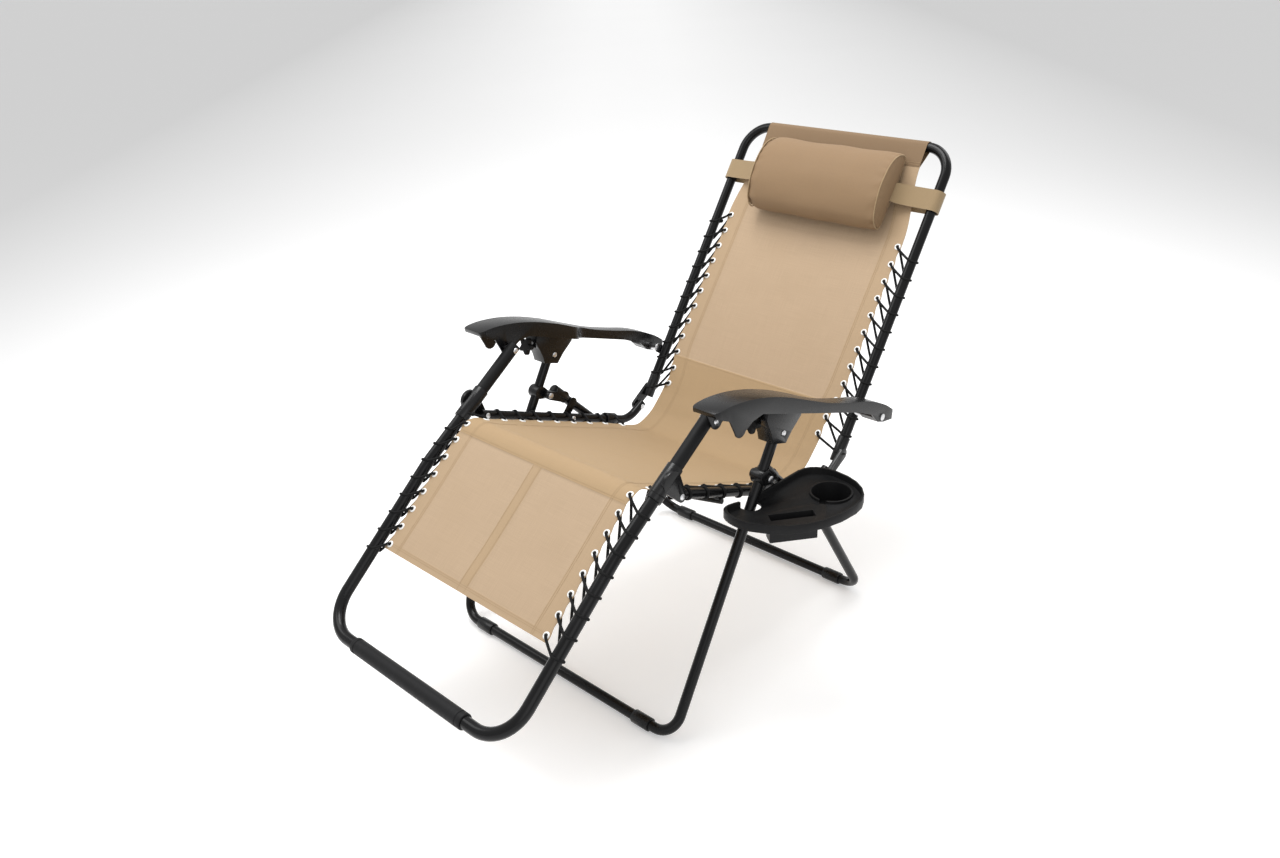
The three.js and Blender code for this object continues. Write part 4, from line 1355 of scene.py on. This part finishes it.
    def lacing(self, body: str, side_name: str, side: float, runs: Sequence[float]) -> bpy.types.Object:
        """One row of elastic: out of each eyelet, over and round the tube, and back behind to the next.

        Args:
            body: leg, seat or back.
            side_name: left or right.
            side: 1 for the left, -1 for the right.
            runs: the eyelets' distances from the foot hem.

        Returns:
            The finished object.
        """
        line, tube_x, radius = self._tube_of(body)
        cord = 2.7
        wrap = radius + 0.9
        slant = {"leg": -26.0, "seat": 10.0, "back": -26.0}[body]
        stations: list[Vector] = []
        for index, run in enumerate(runs):
            point, along = self.at(run)
            out = Vector((-along.y, along.x))
            hole = self.hole_x(run)
            foot, way = self._foot_on(line, point + along * slant)
            off = Vector((-way.y, way.x))
            height = (foot - point).dot(out)
            near = tube_x - wrap * 0.8
            stations += [
                lay_at(side * (hole + 5.0), point + along * -6.0 - out * 6.5, index > 0),
                lay_at(side * (hole + 0.8), point - out * 3.0),
                lay_at(side * hole, point + out * 1.5),
                lay_at(side * (hole + 3.2), point + out * 4.9 + along * slant * 0.08),
                lay_at(side * (hole + 9.5), point + out * 4.4 + along * slant * 0.3),
                lay_at(side * near, foot + off * (wrap * 0.72) - along * slant * 0.15),
                lay_at(side * tube_x, foot + off * wrap),
                lay_at(side * (tube_x + wrap * 0.8), foot + off * wrap * 0.6),
                lay_at(side * (tube_x + wrap), foot + way * 1.5),
                lay_at(side * (tube_x + wrap * 0.8), foot - off * wrap * 0.6 + way * 3.0),
                lay_at(side * tube_x, foot - off * wrap + way * 4.0),
                lay_at(side * near, foot - off * wrap * 0.8 + way * 10.0),
            ]
        kept = [place for place in stations if place is not None]
        path = flowing(kept, 4)
        bm = bmesh.new()
        swept(bm, path, cord * 0.001, 10)
        length = sum((b - a).length for a, b in zip(path, path[1:]))
        LOG.info("%s lacing %s: %.2f m", body, side_name, length)
        for place in (path[0], path[-1]):
            bmesh.ops.create_icosphere(bm, subdivisions=2, radius=0.0052, matrix=Matrix.Translation(place))
        return finished(bm, f"{body}_lacing_{side_name}_cord", Look.CORD, 60.0)

    def sleeve(self) -> None:
        """The sleeve round the back frame's top bar."""
        lay = LAYOUT
        centre = lay.back_top
        start = self.length - self.sleeve_height
        sheet, along = self.at(start)
        out = Vector((-along.y, along.x))
        slope_out = Vector((-lay.back_slope.y, lay.back_slope.x))
        radius = 12.6
        path = [sheet + out * 1.2]
        for k in range(1, 5):
            path.append((sheet + out * 1.2).lerp(centre + slope_out * radius, k / 5.0))
        for k in range(0, 13):
            turn = math.pi * k / 12.0
            path.append(centre + slope_out * (radius * math.cos(turn)) + lay.back_slope * (radius * math.sin(turn)))
        tail = sheet - out * 2.0
        for k in range(1, 6):
            path.append((centre - slope_out * radius).lerp(tail, k / 5.0))
        # The sleeve takes the darker weave: painted shade for the less lit top of the back.
        grid = ClothGrid("top_sleeve_cloth", Look.SHADED_WEAVE, 0.001)
        run = 0.0
        width = self.width_at(self.length - 4.0) - 1.0
        columns = [width * (k / 20.0 * 2.0 - 1.0) for k in range(21)]
        for index, point in enumerate(path):
            if index:
                run += (point - path[index - 1]).length
            cuts = [(x * 0.001, (start + run) * 0.001) for x in columns]
            grid.add([LAYOUT.at(x, point) for x in columns], cuts, [0.0] * len(columns))
        cloth = grid.build()
        bm = bmesh.new()
        bm.loops.layers.uv.new("cloth")
        ways = at_way(along), at_way(out)
        for drop in (4.0, 9.0):
            base = (sheet + out * 1.2).lerp(centre + slope_out * radius, drop / self.sleeve_height)
            for k in range(int(2 * width / 3.0)):
                middle = LAYOUT.at(-width + 1.5 + 3.0 * k, base + out * 0.1)
                turn = Matrix((Vector((1, 0, 0)), *ways)).transposed().to_4x4()
                size = Matrix.Diagonal((0.0023, 0.0007, 0.0006, 1.0))
                bmesh.ops.create_cube(bm, size=1.0, matrix=Matrix.Translation(middle) @ turn @ size)
        sewing = finished(bm, "top_sleeve_sewing", Look.THREAD, 80.0)
        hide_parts("sling_top_sleeve")
        for piece in (cloth, sewing):
            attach(piece, "back")
        wide = 2.0 * width * 0.001
        min(grid.area(), wide * run * 0.001)


def at_way(direction: Vector) -> Vector:
    """A side-view direction as one in the row frame.

    Args:
        direction: a side-view direction.

    Returns:
        The unit direction.
    """
    return Vector((0.0, direction.x, direction.y)).normalized()


def lay_at(x: float, point: Vector, wanted: bool = True) -> Vector | None:
    """A working point in the row frame, or nothing where it isn't wanted.

    Args:
        x: the lateral place, in millimetres.
        point: the side-view point.
        wanted: whether it is wanted.

    Returns:
        The point in metres, or None.
    """
    return LAYOUT.at(x, point) if wanted else None


@dataclass
class HeadPillow:
    """The stuffed half-round head pillow and its elastic strap."""

    half: float = 173.0
    aside: float = 7.0
    strap_half: float = 23.0
    section: tuple[tuple[float, float], ...] = (
        (-20, 0), (-28, 4), (-30, 13), (-26, 25), (-14, 38), (6, 48), (30, 55), (54, 58), (78, 57), (102, 53),
        (124, 44), (140, 30), (148, 16), (149, 5), (141, 0), (110, -3), (76, -4), (42, -4), (8, -3),
    )

    end_rings: tuple[tuple[float, float], ...] = (
        (0.965, 1.6), (0.93, 1.9), (0.88, 2.6), (0.74, 4.6), (0.5, 6.0), (0.25, 6.6),
    )

    def build(self) -> None:
        """Builds the pillow, its end seams and its strap."""
        lay = LAYOUT
        low = stepped(lay.back_foot, lay.back_slope, 530.0, 17.5)
        out = Vector((-lay.back_slope.y, lay.back_slope.x))
        centre = Vector((60.0, 24.0))
        ring = [Vector(p) for p in self.section]
        closed = flowing([ring[-1], *ring, ring[0], ring[1]], 5)[5:-5]
        count = len(closed)
        bm = bmesh.new()
        uv = bm.loops.layers.uv.new("cloth")
        layered = bm.verts.layers.float.new("layers")
        stations = [(-1.0 + 2.0 * k / 64.0) for k in range(65)]
        around = [0.0]
        for a, b in zip(closed, closed[1:] + closed[:1]):
            around.append(around[-1] + (b - a).length)
        rows = []
        cut_of: dict[Any, tuple[float, float]] = {}

        def vert_at(x: float, point: Vector, girth: float, run: float) -> Any:
            """One vertex of the cover."""
            vert = bm.verts.new(LAYOUT.at(x + self.aside, low + lay.back_slope * point.x + out * point.y))
            vert[layered] = 0.8
            cut_of[vert] = (girth * 0.001, run * 0.001)
            return vert

        for share in stations:
            x = share * self.half
            ease = max(0.0, abs(share) - 0.86) / 0.14
            plump = 1.0 - (0.05 if share > 0 else 0.12) * ease ** 2.0 + 0.012 * math.cos(3.0 * math.pi * share)
            row = []
            for k, point in enumerate(closed):
                turn = 2.0 * math.pi * k / count
                pucker = 1.0 + 0.03 * ease * math.sin(15.0 * turn + 3.0 * math.sin(2.0 * turn))
                fold = 1.0 + 0.03 * noise.noise(Vector((x * 0.014, point.x * 0.02, point.y * 0.02 + 5.0)))
                moved = centre + (point - centre) * plump * pucker * fold
                moved.y = max(moved.y, -3.0)
                row.append(vert_at(x, moved, around[k], x))
            rows.append(row)
        for a, b in zip(rows, rows[1:]):
            for k in range(count):
                bm.faces.new((a[k], a[(k + 1) % count], b[(k + 1) % count], b[k]))
        for share, row in ((-1.0, rows[0]), (1.0, rows[-1])):
            previous = row
            for step, (scale, puff) in enumerate(self.end_rings):
                ring_verts = []
                for k, point in enumerate(closed):
                    turn = 2.0 * math.pi * k / count
                    gather = 1.0 + 0.012 * math.sin(23.0 * turn) * (1.0 if step < 3 else 0.4)
                    moved = centre + (point - centre) * 0.95 * scale * gather
                    wave = 0.8 * math.sin(23.0 * turn) * max(0.0, 1.0 - step / 3.5)
                    ring_verts.append(vert_at(share * (self.half + puff + wave), moved, moved.x, moved.y))
                for k in range(count):
                    j = (k + 1) % count
                    bm.faces.new((previous[k], previous[j], ring_verts[j], ring_verts[k]))
                previous = ring_verts
            tip = vert_at(share * (self.half + 6.7), centre, centre.x, centre.y)
            for k in range(count):
                bm.faces.new((previous[k], previous[(k + 1) % count], tip))
        for face in bm.faces:
            for loop in face.loops:
                loop[uv].uv = cut_of[loop.vert]
        # The cover takes the darker weave: painted shade for the less lit pillow.
        cover = finished(bm, "head_pillow_cover", Look.SHADED_WEAVE, 70.0)
        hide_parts("head_pillow")
        bm = bmesh.new()
        for share in (-1.0, 1.0):
            loop_path = []
            for k in range(count + 1):
                point = closed[k % count]
                moved = centre + (point - centre) * 0.955
                side_view = low + lay.back_slope * moved.x + out * max(moved.y, -3.0)
                loop_path.append(LAYOUT.at(self.aside + share * (self.half + 0.6), side_view))
            swept(bm, loop_path, 0.0013, 8)
        piping = finished(bm, "head_pillow_piping", Look.THREAD, 60.0)
        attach(cover, "pillow")
        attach(piping, "pillow")
        self._strap(low, out)

    def _strap(self, low: Vector, out: Vector) -> None:
        """The elastic band from one pillow end, round both tubes behind the sling, to the other end.

        Args:
            low: the pillow's lower back edge, in the side view.
            out: the unit direction out of the back.
        """
        lay = LAYOUT
        wrap = 15.5
        base = stepped(lay.back_foot, lay.back_slope, 592.0)
        route = [(self.half - 3.0, 34.0), (self.half + 8.0, 28.0), (self.half + 26.0, 22.0),
                 (self.half + 52.0, 17.5), (lay.back_x - 12.0, wrap), (lay.back_x - 2.0, wrap)]
        for k in range(1, 9):
            turn = math.pi / 2.0 - math.pi * k / 8.0
            route.append((lay.back_x + wrap * math.cos(turn), wrap * math.sin(turn)))
        route += [(lay.back_x - 30.0, -wrap), (120.0, -wrap - 1.5), (0.0, -wrap - 2.0)]
        full = route + [(-x, n) for x, n in reversed(route[:-1])]
        stations = flowing([Vector(p) for p in full], 4)
        grid = ClothGrid("pillow_strap_band", Look.ELASTIC, 0.0013)
        run = 0.0
        offsets = [self.strap_half * (k / 6.0 * 2.0 - 1.0) for k in range(7)]
        for index, station in enumerate(stations):
            if index:
                run += (station - stations[index - 1]).length
            narrow = 1.0 - 0.12 * math.exp(-(((abs(station.x) - self.half) / 16.0) ** 2))
            grid.add(
                [LAYOUT.at(station.x, base + lay.back_slope * (s * narrow) + out * station.y) for s in offsets],
                [(s * 0.001, run * 0.001) for s in offsets], [1.0] * 7,
            )
        band = grid.build(50.0)
        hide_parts("pillow_strap")
        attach(band, "pillow")
        LOG.info("pillow strap: %.2f m", run * 0.001)


# ---------------------------------------------------------------- stage


@dataclass
class Studio:
    """Floor, lights and camera."""

    focal_px: float = 1119.14
    centre_px: tuple[float, float] = (630.11, 421.87)
    azimuth: float = 45.453
    elevation: float = 25.511
    roll: float = -3.022
    aside: tuple[float, float] = (-0.0677, 0.0388)
    distance: float = 2.5141
    target: Vector = field(default_factory=lambda: Vector((0.0, 0.35, 0.45)))
    scale: float = 0.95
    width: float = 1280.0
    height: float = 858.0

    def camera(self) -> None:
        """Makes the camera."""
        a, e = math.radians(self.azimuth), math.radians(self.elevation)
        back = Vector((math.sin(a) * math.cos(e), -math.cos(a) * math.cos(e), math.sin(e)))
        right = Vector((math.cos(a), math.sin(a), 0.0))
        up = back.cross(right)
        roll = math.radians(self.roll)
        tilted_right = right * math.cos(roll) + up * math.sin(roll)
        tilted_up = up * math.cos(roll) - right * math.sin(roll)
        place = self.target + tilted_right * self.aside[0] + tilted_up * self.aside[1] + back * self.distance
        turn = Matrix((tilted_right, tilted_up, back)).transposed().to_4x4()
        data = bpy.data.cameras.new("camera")
        data.sensor_width = 36.0
        data.lens = self.focal_px * 36.0 / self.width
        data.shift_x = (self.width / 2.0 - self.centre_px[0]) / self.width
        data.shift_y = (self.centre_px[1] - self.height / 2.0) / self.width
        data.clip_start = 0.05
        data.clip_end = 60.0
        camera = bpy.data.objects.new("camera", data)
        camera.matrix_world = Matrix.Translation(place * self.scale + LAYOUT.shift * 0.001) @ turn
        bpy.context.scene.collection.objects.link(camera)
        bpy.context.scene.camera = camera

    def _area(self, name: str, place: Sequence[float], size: float, power: float) -> None:
        """A soft square light aimed at the chair.

        Args:
            name: the light's name.
            place: where it stands.
            size: its side, in metres.
            power: its power, in watts.
        """
        data = bpy.data.lights.new(name, "AREA")
        data.size = size
        data.energy = power
        light = bpy.data.objects.new(name, data)
        aim = Vector((0.0, 0.0, 0.45)) - Vector(place)
        light.matrix_world = Matrix.Translation(place) @ aim.to_track_quat("-Z", "Y").to_matrix().to_4x4()
        bpy.context.scene.collection.objects.link(light)

    def build(self) -> None:
        """Makes the floor, the world, the lights and the camera."""
        bm = bmesh.new()
        bmesh.ops.create_grid(bm, x_segments=1, y_segments=1, size=30.0)
        bmesh.ops.translate(bm, verts=bm.verts, vec=(0.0, 0.0, -0.0006))
        mesh = bpy.data.meshes.new("floor")
        bm.to_mesh(mesh)
        bm.free()
        floor = bpy.data.objects.new("floor", mesh)
        finish = Finish("floor paper")
        cloud = finish.grain(finish.place(), 0.7, 2.0)
        beside = finish.node("ShaderNodeSeparateXYZ", {}, {0: finish.stretched(finish.place(), (0.7, 0.7, 0.0))}, 0)
        along = finish.node("ShaderNodeSeparateXYZ", {}, {0: finish.stretched(finish.place(), (0.7, 0.7, 0.0))}, 1)
        away = finish.node("ShaderNodeMath", {"operation": "ABSOLUTE"}, {0: beside + along})
        # Painted shade: the floor's colour greys further from the chair, standing in for light falling off towards
        # the edges of view.
        painted_falloff_shade = finish.ramp(away, 0.35, 3.6) ** 1.1
        paper = finish.mix(cloud, Colour(0.88, 0.88, 0.88), Colour(0.92, 0.92, 0.92))
        finish.set(
            Base_Color=finish.mix(painted_falloff_shade.clamped(), paper, Colour(0.5, 0.5, 0.5)),
            Roughness=0.9,
            Specular_IOR_Level=0.1,
            Emission_Color=Colour(1.0, 1.0, 1.0),
            Emission_Strength=0.22,
        )
        mesh.materials.append(finish.material)
        bpy.context.scene.collection.objects.link(floor)
        world = bpy.data.worlds.new("studio")
        world.use_nodes = True
        world.node_tree.nodes["Background"].inputs["Color"].default_value = (1.0, 1.0, 1.0, 1.0)
        world.node_tree.nodes["Background"].inputs["Strength"].default_value = 0.8
        bpy.context.scene.world = world
        self._area("key", (-1.9, -1.2, 3.0), 1.6, 26.0)
        self._area("fill", (2.4, -2.2, 1.7), 2.2, 15.0)
        self._area("rim", (0.6, 2.6, 2.6), 1.8, 22.0)
        self._area("top", (-0.5, 0.1, 3.3), 1.5, 66.0)
        self.camera()
        bpy.context.scene.view_settings.view_transform = "Standard"


# ---------------------------------------------------------------- assembly


def main() -> None:
    """Builds the chair's pieces in order."""
    logging.basicConfig(level=logging.INFO, format="%(name)s: %(message)s")
    Studio().build()
    TubeFrames().build()
    Sling().build()
    HeadPillow().build()
    for name in SIDES:
        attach(softened(f"armrest_{name}", 0.003, Look.SATIN_PLASTIC, 3), "armrests")
    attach(softened("side_tray", 0.0012, Look.MATTE_PLASTIC, 2), "tray")


if __name__ == "__main__":
    main()
